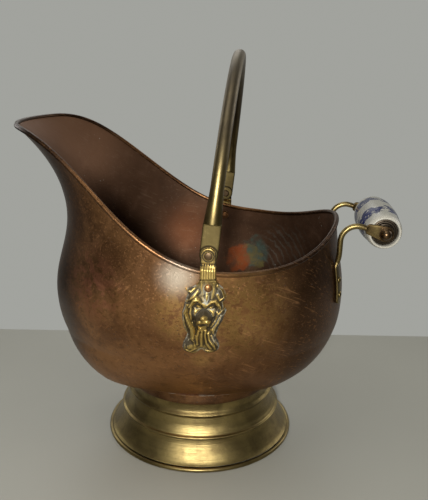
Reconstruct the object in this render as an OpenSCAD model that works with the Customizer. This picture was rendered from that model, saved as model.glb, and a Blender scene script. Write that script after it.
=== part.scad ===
/* [Foot] */
// Outer diameter of the foot's rolled edge
foot_d = 184; // [170:1:200]
// Height of the plane that the bowl stands on
seat_z = 68; // [62:1:74]
// Outer diameter of the foot's neck, inside the collar
neck_d = 140; // [130:1:146]
// Thickness of the spun brass sheet
foot_wall = 1.4; // [1.0:0.1:2.0]
// Height of the rolled edge that rests on the floor
roll_h = 4.2; // [3.0:0.1:6.0]
// Height of the bead between skirt and band
foot_bead_z = 26.4; // [23:0.1:29]
// Height of the groove above the convex band
foot_groove_z = 43.2; // [40:0.1:45]

/* [Collar] */
// Height of the copper collar below the bowl
collar_h = 10.5; // [7:0.5:12]
// Thickness of the collar's strip
collar_wall = 1.3; // [0.8:0.1:2.0]
// Width of the solder fillet between collar and bowl
solder_w = 2.2; // [1.0:0.1:3.0]

/* [Bowl] */
// Thickness of the copper sheet
wall = 1.4; // [1.0:0.1:2.5]
// Height over which the flat bottom turns up
turn_h = 4; // [3:0.5:8]
// Reach of the bottom to the front, where it turns up
turn_front = 101; // [92:0.5:110]
// Reach of the bottom to the back, where it turns up
turn_back = 94; // [85:0.5:105]
// Height of the widest place at front and back
belly_z = 150; // [135:1:160]
// Reach of the belly to the front
belly_front = 137.5; // [125:0.5:145]
// Reach of the belly to the back
belly_back = 134; // [125:0.5:145]
// Height up to which the flanks swell
flank_z = 190; // [175:1:200]
// Half width of the bowl at that height
flank_r = 124; // [115:0.5:135]
// Outward lean of the flanks above it
flank_lean = 0.05; // [0:0.01:0.15]
// How far forward of the foot the widest section lies
mid_shift = 17; // [0:1:20]
// Height of the waist under the spout
waist_z = 226; // [215:1:235]
// Reach of the waist
waist_front = 123.5; // [115:0.5:130]
// Reach of the spout beyond the waist
spout_reach = 43; // [30:1:55]

/* [Rim] */
// Height of the spout's lip
lip_z = 301; // [285:0.5:320]
// Lowest height of the rim, behind the bail
rim_low_z = 198; // [190:0.5:206]
// Place of the rim's lowest point
rim_low_x = 48; // [35:1:60]
// Height of the rim at the back
rim_back_z = 221.3; // [212:0.1:230]
// Reach of the rim at the back
rim_back = 125; // [118:0.5:130]
// Radius of the wired bead along the rim
bead_r = 2.1; // [1.5:0.1:3.0]

/* [Bail] */
// Place of the bail's pivot, behind the foot's centre
pivot_x = 15.5; // [5:0.5:25]
// Height of the bail's pivot
pivot_z = 215; // [212:0.5:222]
// Height of the arch above the pivot, to the rod's centre
bail_h = 148; // [130:1:165]
// Diameter of the bail's rod
bail_d = 10.5; // [8:0.5:12]
// Diameter of the rod where it meets its flat ends
bail_end_d = 13.2; // [11:0.1:15]
// Height of the flat ends above the pivot
bail_flat_h = 24; // [18:1:30]
// Thickness of the flat ends
bail_flat_t = 4; // [3:0.5:5]
// Backward lean of the bail as it stands
bail_lean = 6; // [0:1:10]

/* [Lion masks] */
// Width of the strap over the rim
strap_w = 11.6; // [9:0.2:14]
// Thickness of strap and mask at the edge
strap_t = 2.5; // [2:0.1:3.5]
// Length of the casting below the pivot
mask_len = 85; // [76:1:92]
// Largest half width of the mane
mask_half = 16.4; // [13:0.2:18]
// Height of the relief over the face
relief = 6; // [3:0.5:8]
// Diameter of the pivot rivet's shank
pivot_d = 5; // [4:0.5:6]
// Diameter of the copper rivet's head
mask_rivet_d = 7; // [5:0.5:9]

/* [Rear handle] */
// Half the distance between the two arms
arm_y = 43.7; // [38:0.1:50]
// Half the distance between the arms' feet
arm_foot_y = 40; // [36:0.5:44]
// Diameter of the arms' rod
arm_d = 5; // [4:0.2:7]
// Reach of the arms' upright part
arm_x = 124.4; // [122:0.1:130]
// Radius of the arms' bend, to the rod's centre
arm_bend_r = 14; // [11:0.5:17]
// Height of the arms' feet, lower end
arm_foot_z0 = 150; // [146:1:154]
// Height of the arms' feet, upper end
arm_foot_z1 = 186; // [182:1:190]
// Width of the arms' feet
arm_foot_w = 9; // [7:0.5:11]
// Thickness of the arms' flat parts
arm_flat_t = 2.6; // [2:0.1:3.5]
// Place of the grip's axis
grip_x = 162.8; // [158:0.1:168]
// Height of the grip's axis
grip_z = 216.4; // [212:0.1:220]

/* [Grip] */
// Largest diameter of the porcelain grip
grip_d = 37; // [32:0.5:40]
// Diameter of the grip's ends
grip_end_d = 28.2; // [24:0.2:30]
// Distance between the grip's end and the arm
grip_gap = 2.2; // [1.5:0.1:4]
// Diameter of the hollow in each end
cup_d = 24.6; // [20:0.2:25.2]
// Depth of the hollow in each end
cup_depth = 6; // [4:0.5:8]
// Diameter of the rod through the grip
rod_d = 5; // [4:0.5:6]
// Diameter of the domed nuts
nut_d = 9.4; // [8:0.2:12]

/* [Hidden] */
$fn = 64;

// Clearances
seat_gap = 0.1;     // castings and straps against the bowl
turn_gap = 0.3;     // faces that move past each other
pin_gap = 0.1;      // pivot shank in the bail's eye
snug_gap = 0.05;    // shanks in the holes that hold them

// Foot
foot_r = foot_d / 2;
roll_r = roll_h / 2;
neck_r = neck_d / 2;
seat_r = neck_r + collar_wall + snug_gap;
roll_land = 0.25;   // the roll is worn flat by this much where it stands

// Bowl
front_n = 2.25;     // fullness of the belly in side view, at the front
back_n = 2.5;       // and at the back
flank_n = 1.85;     // fullness of the flanks in end view
turn_n = 0.6;       // how soon the bottom's slope eases
corner_front = 0.66; // roundness of the bottom's plan at the front; 1 is an ellipse, less is squarer
corner_back = 0.80;
corner_h = 45;      // height over which the plan becomes an ellipse
spout_n = 2.1;      // how late the spout flares
bowl_sides = 84;
bowl_rows = 20;
lip_flat_x = -155;  // forward of this the lip is level
rim_back_n = 2.8;   // how late the rim rises at the back
rim_front_n = 1.25; // how late the rim rises to the spout

// Bail
arch_sides = 12;
arch_rings = 56;
pivot_r = pivot_d / 2;
bore_r = pivot_r + pin_gap;

// Colours
COPPER = [0.55, 0.33, 0.20];
BRASS = [0.62, 0.52, 0.27];
OLD_BRASS = [0.45, 0.38, 0.20];
SOLDER = [0.62, 0.60, 0.52];
PORCELAIN = [0.90, 0.90, 0.86];

// ---------- curves ----------

function clamp01(t) = min(1, max(0, t));

// Smooth step from 0 to 1
function ease(t) = (1 - cos(180 * clamp01(t))) / 2;

// Value of a table of [key, value] rows, eased between its rows
function station(rows, key) =
    let (
        above = [for (k = [0 : len(rows) - 1]) if (rows[k][0] > key) k],
        hi = len(above) == 0 ? len(rows) - 1 : max(1, above[0]),
        a = rows[hi - 1],
        b = rows[hi]
    )
    a[1] + (b[1] - a[1]) * ease((key - a[0]) / (b[0] - a[0]));

// Superellipse that leaves radius r0 at height z0 and stands upright at r1, z1
function swell(z, z0, r0, z1, r1, n) =
    let (h = (z1 - z0) / pow(1 - pow(r0 / r1, n), 1 / n))
    r1 * pow(1 - pow(max(0, z1 - z) / h, n), 1 / n);

function unit(v) = v / norm(v);

// ---------- form of the bowl ----------

turn_z = seat_z + turn_h;

// Reach below the belly: outwards along the bottom, then up the swelling side
function reach_low(z, turn_r, belly_r, n) =
    z < turn_z
    ? seat_r + (turn_r - seat_r) * pow(clamp01((z - seat_z) / turn_h), turn_n)
    : swell(z, turn_z, turn_r, belly_z, belly_r, n);

function bowl_front(z) =
    z < belly_z ? reach_low(z, turn_front, belly_front, front_n)
    : z < waist_z ? belly_front + (waist_front - belly_front) * ease((z - belly_z) / (waist_z - belly_z))
    : waist_front + spout_reach * pow((z - waist_z) / (lip_z - waist_z), spout_n);

function bowl_back(z) =
    z < belly_z ? reach_low(z, turn_back, belly_back, back_n)
    : belly_back + (rim_back - belly_back) * ease((z - belly_z) / (rim_back_z - belly_z));

function bowl_half(z) =
    swell(z, seat_z, seat_r, flank_z, flank_r, flank_n) + flank_lean * max(0, z - flank_z);

// The widest section drifts forward between the seat and the belly
function bowl_mid(z) = -mid_shift * clamp01((z - seat_z) / (belly_z - seat_z));

// Roundness of the plan at height z, towards the back or the front
function corner(z, back) =
    1 - (1 - (back ? corner_back : corner_front)) * clamp01(1 - (z - seat_z) / corner_h);

function signed_pow(v, p) = sign(v) * pow(abs(v), p);

// Point of the outer face at bearing a (0 is the back, 180 the spout) and height z
function bowl_point(a, z) =
    let (
        mid = bowl_mid(z),
        back = cos(a) > 0,
        reach = back ? bowl_back(z) - mid : bowl_front(z) + mid,
        p = corner(z, back)
    )
    [mid + reach * signed_pow(cos(a), p), bowl_half(z) * signed_pow(sin(a), p), z];

// Bearing of the point of the outer face at x and z, on the side of positive y
function bearing_at(x, z) =
    let (
        mid = bowl_mid(z),
        back = x > mid,
        reach = back ? bowl_back(z) - mid : bowl_front(z) + mid
    )
    acos(max(-1, min(1, signed_pow((x - mid) / reach, 1 / corner(z, back)))));

// Distance of the outer face from the middle plane at a place x and height z
function bowl_y(x, z) = bowl_point(bearing_at(x, z), z)[1];

// Height of the rim over a place x
function rim_z(x) =
    x > rim_low_x
    ? rim_low_z + (rim_back_z - rim_low_z) * pow(clamp01((x - rim_low_x) / (rim_back - rim_low_x)), rim_back_n)
    : rim_low_z + (lip_z - rim_low_z) * ease(pow(clamp01((rim_low_x - x) / (rim_low_x - lip_flat_x)), rim_front_n));

// Height at which the bowl's face meets the rim at bearing a
function rim_height(a, lo, hi, steps = 22) =
    let (z = (lo + hi) / 2)
    steps == 0 ? z
    : z > rim_z(bowl_point(a, z)[0]) ? rim_height(a, lo, z, steps - 1)
    : rim_height(a, z, hi, steps - 1);

bearings = [for (k = [0 : bowl_sides - 1]) 360 * k / bowl_sides];
rim_heights = [for (a = bearings) rim_height(a, rim_low_z - 5, lip_z + 1)];
rim_points = [for (k = [0 : bowl_sides - 1]) bowl_point(bearings[k], rim_heights[k])];

// Outward normal of the bowl's face, from its slopes
function bowl_normal(a, z) =
    let (
        step = 0.05,
        along = bowl_point(a + step, z) - bowl_point(a - step, z),
        up = bowl_point(a, z + step) - bowl_point(a, z - step)
    )
    unit(cross(along, up));

// ---------- solids from rings ----------

function flatten(rows) = [for (row = rows) for (p = row) p];

// Triangles that join ring k to the next ring; every ring has n points, counterclockwise about the path
function band_faces(n, k, next) =
    [for (j = [0 : n - 1])
        let (i = (j + 1) % n)
        for (f = [[k * n + j, next * n + i, k * n + i], [k * n + j, next * n + j, next * n + i]]) f];

// A tube through rings of points; the first and last ring are capped unless it is closed
module rings_solid(rings, closed = false) {
    n = len(rings[0]);
    m = len(rings);
    bands = [for (k = [0 : m - (closed ? 1 : 2)]) for (f = band_faces(n, k, (k + 1) % m)) f];
    caps = closed ? [] : [
        [for (j = [0 : n - 1]) j],
        [for (j = [n - 1 : -1 : 0]) (m - 1) * n + j]
    ];
    polyhedron(points = flatten(rings), faces = concat(bands, caps), convexity = 10);
}

// Ring around centre c: half sizes a along u and b along v; power 1 is round, less is squarer
function ring_at(c, u, v, a, b, n, power = 1) =
    [for (j = [0 : n - 1])
        let (w = 360 * j / n)
        c + u * a * sign(cos(w)) * pow(abs(cos(w)), power) + v * b * sign(sin(w)) * pow(abs(sin(w)), power)];

// Moves children so that their +Z points along direction d at point p
module along(p, d) {
    translate(p)
        rotate([0, acos(d[2] / norm(d)), atan2(d[1], d[0])])
            children();
}

// The side of the part that faces the viewer (near, negative y) or its mirror image (far)
module on_side(far) {
    mirror([0, far ? 1 : 0, 0])
        children();
}

// ---------- foot and collar ----------

module foot() {
    bead = foot_bead_z;
    groove = foot_groove_z;
    collar_z = seat_z - collar_h;
    out = [
        [neck_r, seat_z],
        [neck_r, collar_z],
        [neck_r - 0.7, collar_z - 3.5],
        [neck_r - 0.4, groove + 6.6],
        [neck_r + 2.2, groove + 3.2],
        [neck_r + 0.6, groove],
        [neck_r + 1.2, groove - 3.2],
        [neck_r + 2.2, groove - 7.4],
        [neck_r + 4.3, bead + 5],
        [neck_r + 6.0, bead + 2.6],
        [neck_r + 6.4, bead + 1.7],
        [neck_r + 8.5, bead],
        [neck_r + 7.1, bead - 2],
        [neck_r + 8.4, bead - 6.4],
        [foot_r - 10, bead - 13],
        [foot_r - 6, roll_h + 3]
    ];
    inn = [for (k = [len(out) - 1 : -1 : 1]) out[k] - [foot_wall, 0]];
    roll_c = [foot_r - roll_r, roll_r - roll_land];
    edge = [for (a = [90 : 10 : 140]) roll_c + (roll_r + snug_gap) * [cos(a), sin(a)]];
    color(BRASS)
        rotate_extrude()
            polygon(concat(
                out,
                edge,
                inn,
                [[neck_r - foot_wall, seat_z - foot_wall],
                 [neck_r - 12, seat_z - foot_wall],
                 [neck_r - 12, seat_z]]
            ));
}

module foot_roll() {
    color(OLD_BRASS)
        rotate_extrude()
            translate([foot_r - roll_r, 0])
                difference() {
                    translate([0, roll_r - roll_land])
                        circle(r = roll_r, $fn = 32);
                    translate([-2 * roll_r, -1])
                        square([4 * roll_r, 1]);
                }
}

module copper_collar() {
    color(COPPER)
        translate([0, 0, seat_z - collar_h])
            difference() {
                cylinder(r = seat_r, h = collar_h);
                translate([0, 0, -1])
                    cylinder(r = neck_r + snug_gap, h = collar_h + 2);
            }
}

module solder_fillet() {
    color(SOLDER)
        rotate_extrude()
            polygon([
                [seat_r + 0.02, seat_z - solder_w],
                [seat_r + solder_w * 0.4, seat_z - solder_w * 0.4],
                [seat_r + solder_w, seat_z - 0.02],
                [seat_r + 0.02, seat_z - 0.02]
            ]);
}

// ---------- bowl and rim ----------

module bowl() {
    row_share = [for (j = [0 : bowl_rows]) pow(j / bowl_rows, 1.8)];
    outer = [for (s = row_share) [for (k = [0 : bowl_sides - 1])
        bowl_point(bearings[k], seat_z + (rim_heights[k] - seat_z) * s)]];
    inner = [for (j = [0 : bowl_rows]) [for (k = [0 : bowl_sides - 1])
        outer[j][k] - wall * bowl_normal(bearings[k], max(seat_z + 0.4, outer[j][k][2]))]];
    floor_ring = [for (p = outer[0]) [p[0] * (1 - 2 * wall / seat_r), p[1] * (1 - 2 * wall / seat_r), seat_z + wall]];
    color(COPPER)
        rings_solid(concat([outer[0]], [for (j = [1 : bowl_rows]) outer[j]],
            [for (j = [bowl_rows : -1 : 1]) inner[j]], [floor_ring]));
}

module rim_bead() {
    n = bowl_sides;
    color(COPPER)
        rings_solid([for (k = [0 : n - 1])
            let (
                ahead = rim_points[(k + 1) % n] - rim_points[(k + n - 1) % n],
                t = unit(ahead),
                out = bowl_normal(bearings[k], rim_heights[k]),
                u = unit(out - t * (out * t))
            )
            ring_at(rim_points[k] - u * wall / 2, u, cross(t, u), bead_r, bead_r, 8)
        ], closed = true);
}

// ---------- bail ----------

rim_y = bowl_y(pivot_x, rim_z(pivot_x));
strap_set = 0.8;                                  // the strap's upper part lies this far inside the rim
strap_in = rim_y - strap_set;
flat_y = strap_in - turn_gap - bail_flat_t / 2;   // middle of the bail's flat end
arch_a = flat_y - 0.8;
taper_h = 30;                                     // length over which the rod's ends thicken

function rod_r(h) =
    bail_d / 2 + (bail_end_d - bail_d) / 2 * pow(1 - clamp01((h - bail_flat_h) / taper_h), 1.5);

// Point of the arch at angle t: 0 is the near end, 180 the far end
function arch_point(t) = [0, -arch_a * cos(t), bail_flat_h + (bail_h - bail_flat_h) * sin(t)];

module bail_end() {
    difference() {
        translate([0, bail_flat_t / 2, 0])
            rotate([90, 0, 0])
                union() {
                    cylinder(d = bail_end_d, h = bail_flat_t);
                    translate([-bail_end_d / 2, 0, 0])
                        cube([bail_end_d, bail_flat_h + 0.5, bail_flat_t]);
                }
        rotate([90, 0, 0])
            cylinder(r = bore_r, h = bail_flat_t + 2, center = true);
    }
}

module bail() {
    rings = [for (k = [0 : arch_rings])
        let (
            t = 180 * k / arch_rings,
            p = arch_point(t),
            ahead = unit([0, arch_a * sin(t), (bail_h - bail_flat_h) * cos(t)])
        )
        ring_at(p, [1, 0, 0], cross(ahead, [1, 0, 0]), rod_r(p[2]), rod_r(p[2]), arch_sides)];
    color(OLD_BRASS)
        translate([pivot_x, 0, pivot_z])
            rotate([0, bail_lean, 0])
                union() {
                    rings_solid(rings);
                    for (side = [-1, 1])
                        translate([0, side * flat_y, 0])
                            bail_end();
                }
}

// ---------- rivets ----------

// A rivet along Z: its head sits at z = 0, its tail is closed at z = -grip
module rivet(head_r, head_h, shank_r, grip, tail_r, tail_h) {
    dome = [for (a = [0 : 15 : 90]) [head_r * cos(a), head_h * sin(a)]];
    rotate_extrude()
        polygon(concat(
            [[0, -grip - tail_h], [tail_r * 0.7, -grip - tail_h], [tail_r, -grip], [shank_r, -grip], [shank_r, 0]],
            dome
        ));
}

module ring_washer(outer_r, inner_r, h) {
    difference() {
        cylinder(r = outer_r, h = h);
        translate([0, 0, -1])
            cylinder(r = inner_r, h = h + 2);
    }
}

burr_h = 1.0;
burr_gap = 0.5;     // the flat burr against the bowl's curved inner face
pivot_washer_h = 1.0;
pivot_head_r = pivot_d / 2 + 0.8;
pivot_seat_y = strap_in + strap_t + snug_gap;
pivot_tail_y = flat_y - bail_flat_t / 2 - turn_gap / 2 - pivot_washer_h - snug_gap;

module pivot_rivet() {
    color(OLD_BRASS)
        along([pivot_x, -pivot_seat_y, pivot_z], [0, -1, 0])
            rivet(pivot_head_r, 0.9, pivot_r, pivot_seat_y - pivot_tail_y, pivot_head_r + 0.4, 1.4);
}

module pivot_washer() {
    color(BRASS)
        along([pivot_x, -pivot_tail_y - snug_gap, pivot_z], [0, -1, 0])
            ring_washer(pivot_r + 2.6, pivot_r + snug_gap, pivot_washer_h);
}

// ---------- lion masks ----------

mask_tilt = 5.5;        // the face hangs a little towards the spout
mask_bend_d = 22;       // depth below the pivot at which the strap becomes the mask
mask_rivet_depth = 25;
mask_rows = 36;
mask_cols = 13;
drawn_half = 16.4;      // the relief is laid out on a face of this half width and length
drawn_len = 85;

// Outline of the casting: share of its length below the pivot, share of the mane's half width
mask_outline = [
    [0.235, 0.50], [0.29, 0.65], [0.35, 0.93], [0.43, 0.85], [0.50, 0.96], [0.61, 1.00],
    [0.68, 0.93], [0.765, 0.78], [0.825, 0.64], [0.90, 0.80], [0.96, 0.76], [1.0, 0.45]
];

function mask_middle(z) = pivot_x - tan(mask_tilt) * max(0, pivot_z - z - mask_bend_d);

function mask_width(z) =
    let (share = (pivot_z - z) / mask_len)
    share < 0 ? sqrt(max(0.2, pow(strap_w / 2, 2) - pow(z - pivot_z, 2)))
    : share < 0.2 ? strap_w / 2
    : share < 0.24 ? strap_w / 2 + (mask_half * 0.5 - strap_w / 2) * ease((share - 0.2) / 0.04)
    : mask_half * station(mask_outline, share);

// Depth of the casting's back face: upright at the pivot, over the bead, then on the bowl
function mask_back(x, z) =
    let (
        over = bowl_y(x, rim_z(x)) + bead_r - wall / 2 + seat_gap,
        on_bowl = bowl_y(x, z) + seat_gap,
        above = ease((z - rim_z(x) - bead_r - 1) / 4),
        below = ease((rim_z(x) - bead_r - 1 - z) / 7)
    )
    z > rim_z(x)
    ? over + (strap_in - over) * above
    : over + (on_bowl - over) * below;

function bump(x, d, cx, cd, sx, sd) = exp(-pow((x - cx) / sx, 2) - pow((d - cd) / sd, 2));

// Height of the relief at x across and d below the pivot
function mask_relief(x, d) =
    0.75 * bump(x, d, 0, 52, 10, 15)
    + 0.45 * bump(x, d, 0, 54, 3, 6)
    + 0.35 * bump(x, d, 0, 62, 5, 4)
    + 0.30 * (bump(x, d, -5, 40, 3.5, 2.5) + bump(x, d, 5, 40, 3.5, 2.5))
    - 0.25 * (bump(x, d, -5.2, 45, 2.4, 2) + bump(x, d, 5.2, 45, 2.4, 2))
    + 0.55 * (bump(x, d, -12.5, 53, 2.5, 12) + bump(x, d, 12.5, 53, 2.5, 12))
    + 0.45 * (bump(x, d, -12.5, 31, 3, 3.5) + bump(x, d, 12.5, 31, 3, 3.5))
    + 0.50 * (bump(x, d, -7.5, 79, 4.2, 4) + bump(x, d, 7.5, 79, 4.2, 4));

function mask_ring(z) =
    let (
        half = mask_width(z),
        mid = mask_middle(z),
        drawn_d = (pivot_z - z) * (drawn_len / mask_len),
        shares = [for (k = [0 : mask_cols - 1]) 1 - 2 * k / (mask_cols - 1)],
        front = [for (u = shares)
            let (
                x = mid + u * half,
                drawn_x = u * half * (drawn_half / mask_half),
                // The eye plate is flat, and below it the edges are rounded
                thick = strap_t * (z > rim_z(x) + bead_r + 5 ? 1 : 1 - 0.3 * pow(u, 6)),
                rise = z > rim_z(x) - bead_r ? 0 : relief * mask_relief(drawn_x, drawn_d) * (1 - pow(u, 6))
            )
            [x, -(mask_back(x, z) + thick + rise), z]],
        back = [for (k = [mask_cols - 1 : -1 : 0])
            let (x = mid + shares[k] * half)
            [x, -mask_back(x, z), z]]
    )
    concat(front, back);

module lion_mask() {
    // The strap's top is round about the pivot
    top_steps = [0.97, 0.88, 0.7, 0.45, 0.2];
    rows = concat(
        [for (s = top_steps) pivot_z + strap_w / 2 * s],
        [for (k = [0 : mask_rows]) pivot_z - mask_len * k / mask_rows]
    );
    color(BRASS)
        difference() {
            rings_solid([for (z = rows) mask_ring(z)]);
            along([pivot_x, -strap_in + 5, pivot_z], [0, -1, 0])
                cylinder(r = pivot_r + snug_gap, h = strap_t + 10);
        }
}

mask_rivet_z = pivot_z - mask_rivet_depth;
mask_rivet_bearing = -bearing_at(mask_middle(mask_rivet_z), mask_rivet_z);
mask_rivet_out = bowl_normal(mask_rivet_bearing, mask_rivet_z);
mask_rivet_seat = strap_t + seat_gap + 1.4;

module mask_rivet() {
    color(COPPER)
        along(bowl_point(mask_rivet_bearing, mask_rivet_z) + mask_rivet_out * mask_rivet_seat, mask_rivet_out)
            rivet(mask_rivet_d / 2, 1.8, 2, mask_rivet_seat + wall + burr_gap + burr_h + 0.1, 2.9, 1.2);
}

module mask_burr() {
    color(COPPER)
        along(bowl_point(mask_rivet_bearing, mask_rivet_z) - mask_rivet_out * (wall + burr_gap + burr_h), mask_rivet_out)
            ring_washer(4.5, 2 + snug_gap, burr_h);
}

// ---------- rear handle ----------

arm_r = arm_d / 2;
arm_top_z = 222.7;
arm_eye_r = 7;
arm_sides = 12;
arm_steps = 8;

function arm_foot_bearing(z) = -asin(arm_foot_y / bowl_half(z));

bend_c = [arm_x + arm_bend_r, arm_top_z - arm_bend_r];
to_eye = [grip_x, grip_z] - bend_c;
// Bearing, seen from the side, at which the bend runs straight on to the eye
bend_end = atan2(to_eye[1], to_eye[0]) + acos(arm_bend_r / norm(to_eye));

// One ring of the arm: centre, outward direction, path direction, half thickness, half width, squareness
function arm_ring(c, n, t, a, b, power) =
    let (m = unit(n - t * (n * t)))
    ring_at(c, m, cross(t, m), a, b, arm_sides, power);

function arm_foot_rings() =
    let (ends = [0.35, 0.72, 0.93, 1, 1, 1, 1, 0.9])
    [for (k = [0 : len(ends) - 1])
        let (
            share = k < 3 ? [0, 0.03, 0.08][k] : 0.08 + 0.92 * (k - 2) / (len(ends) - 3),
            z = arm_foot_z0 + (arm_foot_z1 - arm_foot_z0) * share,
            a = arm_foot_bearing(z),
            n = bowl_normal(a, z),
            up = unit(bowl_point(arm_foot_bearing(z + 0.5), z + 0.5) - bowl_point(a, z))
        )
        arm_ring(bowl_point(a, z) + n * (seat_gap + arm_flat_t / 2), n, up,
            arm_flat_t / 2, arm_foot_w / 2 * ends[k], 0.6)];

function arm_rod_rings() =
    [for (k = [1 : 4])
        let (
            share = k / 4,
            z = arm_foot_z1 + 3 + (bend_c[1] - arm_foot_z1 - 3) * (k - 1) / 3,
            turn = 17 + 73 * ease(share),
            y = arm_foot_y + (arm_y - arm_foot_y) * ease(share),
            a = arm_foot_bearing(arm_foot_z1),
            foot_x = bowl_point(a, arm_foot_z1)[0] + 1.4,
            x = k == 1 ? (foot_x + arm_x) / 2 : arm_x
        )
        arm_ring([x, -y, z], [cos(turn), -sin(turn), 0], [0, 0, 1],
            k == 1 ? arm_r * 0.85 : arm_r, k == 1 ? arm_r * 1.15 : arm_r, k == 1 ? 0.85 : 1)];

function arm_bend_rings() =
    [for (k = [1 : arm_steps])
        let (
            w = 180 + (bend_end - 180) * k / arm_steps,
            c = [bend_c[0] + arm_bend_r * cos(w), -arm_y, bend_c[1] + arm_bend_r * sin(w)]
        )
        arm_ring(c, [0, -1, 0], [sin(w), 0, -cos(w)], arm_r, arm_r, 1)];

function arm_paddle_rings() =
    let (
        t = [sin(bend_end), 0, -cos(bend_end)],
        start = [bend_c[0] + arm_bend_r * cos(bend_end), -arm_y, bend_c[1] + arm_bend_r * sin(bend_end)],
        reach = norm([grip_x, -arm_y, grip_z] - start)
    )
    // share of the way to the eye, half thickness, half width, squareness
    [for (row = [
            [0.17, arm_r, arm_r, 1], [0.2, arm_flat_t / 2 + 0.1, arm_r * 1.5, 0.6],
            [0.4, arm_flat_t / 2, arm_r * 2.0, 0.6], [0.62, arm_flat_t / 2, arm_r * 2.4, 0.6],
            [0.85, arm_flat_t / 2, arm_r * 2.6, 0.6], [1.0, arm_flat_t / 2, arm_r * 2.5, 0.6]
        ])
        arm_ring(start + t * reach * row[0], [0, -1, 0], t, row[1], row[2], row[3])];

module handle_arm() {
    color(OLD_BRASS)
        difference() {
            union() {
                rings_solid(concat(arm_foot_rings(), arm_rod_rings(), arm_bend_rings(), arm_paddle_rings()));
                along([grip_x, -arm_y + arm_flat_t / 2, grip_z], [0, -1, 0])
                    cylinder(r = arm_eye_r, h = arm_flat_t);
            }
            along([grip_x, -arm_y + 10, grip_z], [0, -1, 0])
                cylinder(r = rod_d / 2 + snug_gap, h = 20);
        }
}

arm_rivet_z = [172, 158.5];
arm_rivet_seat = seat_gap + arm_flat_t;

module arm_rivet(z) {
    a = arm_foot_bearing(z);
    n = bowl_normal(a, z);
    color(OLD_BRASS)
        along(bowl_point(a, z) + n * arm_rivet_seat, n)
            rivet(3, 1.5, 1.6, arm_rivet_seat + wall + burr_gap + burr_h + 0.1, 2.5, 1.1);
}

module arm_burr(z) {
    a = arm_foot_bearing(z);
    n = bowl_normal(a, z);
    color(COPPER)
        along(bowl_point(a, z) - n * (wall + burr_gap + burr_h), n)
            ring_washer(4, 1.6 + snug_gap, burr_h);
}

// ---------- grip ----------

nut_h = 5.2;
nut_flange_r = 6;
nut_flange_h = 1.2;
arm_in_y = arm_y - arm_flat_t / 2;
arm_out_y = arm_y + arm_flat_t / 2;
grip_half = arm_in_y - grip_gap;
cup_floor = grip_half - cup_depth;

module grip_rod() {
    color(BRASS)
        translate([grip_x, 0, grip_z])
            rotate([90, 0, 0])
                cylinder(d = rod_d, h = 2 * (arm_out_y + nut_h * 0.6), center = true);
}

// Domed nut outside an arm's eye
module dome_nut() {
    dome = [for (a = [0 : 15 : 90]) [nut_d / 2 * cos(a), nut_h - nut_d / 2 + nut_d / 2 * sin(a)]];
    bore = rod_d / 2 + snug_gap;
    deep = nut_h * 0.6 + 0.1;
    color(OLD_BRASS)
        along([grip_x, -arm_out_y, grip_z], [0, -1, 0])
            rotate_extrude()
                polygon(concat(
                    [[0, deep], [bore, deep], [bore, 0], [nut_flange_r, 0], [nut_flange_r, nut_flange_h * 0.6],
                     [nut_d / 2 + 0.5, nut_flange_h]],
                    [for (p = dome) if (p[1] > nut_flange_h || p[0] == 0) p]
                ));
}

// Stepped brass cap that fills the hollow in the grip's end
module end_cap() {
    bore = rod_d / 2 + snug_gap;
    base = cup_floor + turn_gap;
    cap_r = cup_d / 2 - 0.5;
    color(OLD_BRASS)
        translate([grip_x, 0, grip_z])
            rotate([90, 0, 0])
                rotate_extrude()
                    polygon([
                        [bore, base], [cap_r, base], [cap_r, base + 1.2], [cap_r - 2.4, base + 2.2],
                        [cap_r - 3.4, base + 2.2], [cap_r - 5.2, base + 4.4], [5.2, base + 5.0],
                        [4.4, arm_in_y - snug_gap], [bore, arm_in_y - snug_gap]
                    ]);
}

// Profile of the grip from its middle to its end: share of the half length, share of the swell over the ends
grip_profile = [
    [0, 1.0], [0.12, 0.985], [0.26, 0.93], [0.38, 0.84], [0.48, 0.72], [0.56, 0.58], [0.60, 0.44],
    [0.64, 0.46], [0.72, 0.50], [0.82, 0.42], [0.90, 0.26], [0.95, 0.10]
];

module porcelain_grip() {
    r = grip_d / 2;
    end_r = grip_end_d / 2;
    bore = rod_d / 2 + 0.35;
    half = concat(
        [for (row = grip_profile) [end_r + (r - end_r) * row[1], grip_half * row[0]]],
        [[end_r, grip_half - 0.9], [end_r - 0.8, grip_half], [cup_d / 2 + 0.5, grip_half],
         [cup_d / 2, grip_half - 0.8], [cup_d / 2, cup_floor], [bore, cup_floor]]
    );
    mirrored = [for (k = [len(half) - 1 : -1 : 1]) [half[k][0], -half[k][1]]];
    color(PORCELAIN)
        translate([grip_x, 0, grip_z])
            rotate([90, 0, 0])
                rotate_extrude()
                    polygon(concat(half, mirrored));
}

bowl();
rim_bead();
solder_fillet();
copper_collar();
foot();
foot_roll();
bail();
on_side(false) lion_mask();  // lion_mask_near
on_side(true) lion_mask();  // lion_mask_far
on_side(false) pivot_rivet();  // pivot_rivet_near
on_side(true) pivot_rivet();  // pivot_rivet_far
on_side(false) pivot_washer();  // pivot_washer_near
on_side(true) pivot_washer();  // pivot_washer_far
on_side(false) mask_rivet();  // mask_rivet_near
on_side(true) mask_rivet();  // mask_rivet_far
on_side(false) mask_burr();  // mask_burr_near
on_side(true) mask_burr();  // mask_burr_far
on_side(false) handle_arm();  // handle_arm_near
on_side(true) handle_arm();  // handle_arm_far
on_side(false) arm_rivet(arm_rivet_z[0]);  // arm_rivet_upper_near
on_side(true) arm_rivet(arm_rivet_z[0]);  // arm_rivet_upper_far
on_side(false) arm_rivet(arm_rivet_z[1]);  // arm_rivet_lower_near
on_side(true) arm_rivet(arm_rivet_z[1]);  // arm_rivet_lower_far
on_side(false) arm_burr(arm_rivet_z[0]);  // arm_burr_upper_near
on_side(true) arm_burr(arm_rivet_z[0]);  // arm_burr_upper_far
on_side(false) arm_burr(arm_rivet_z[1]);  // arm_burr_lower_near
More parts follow.
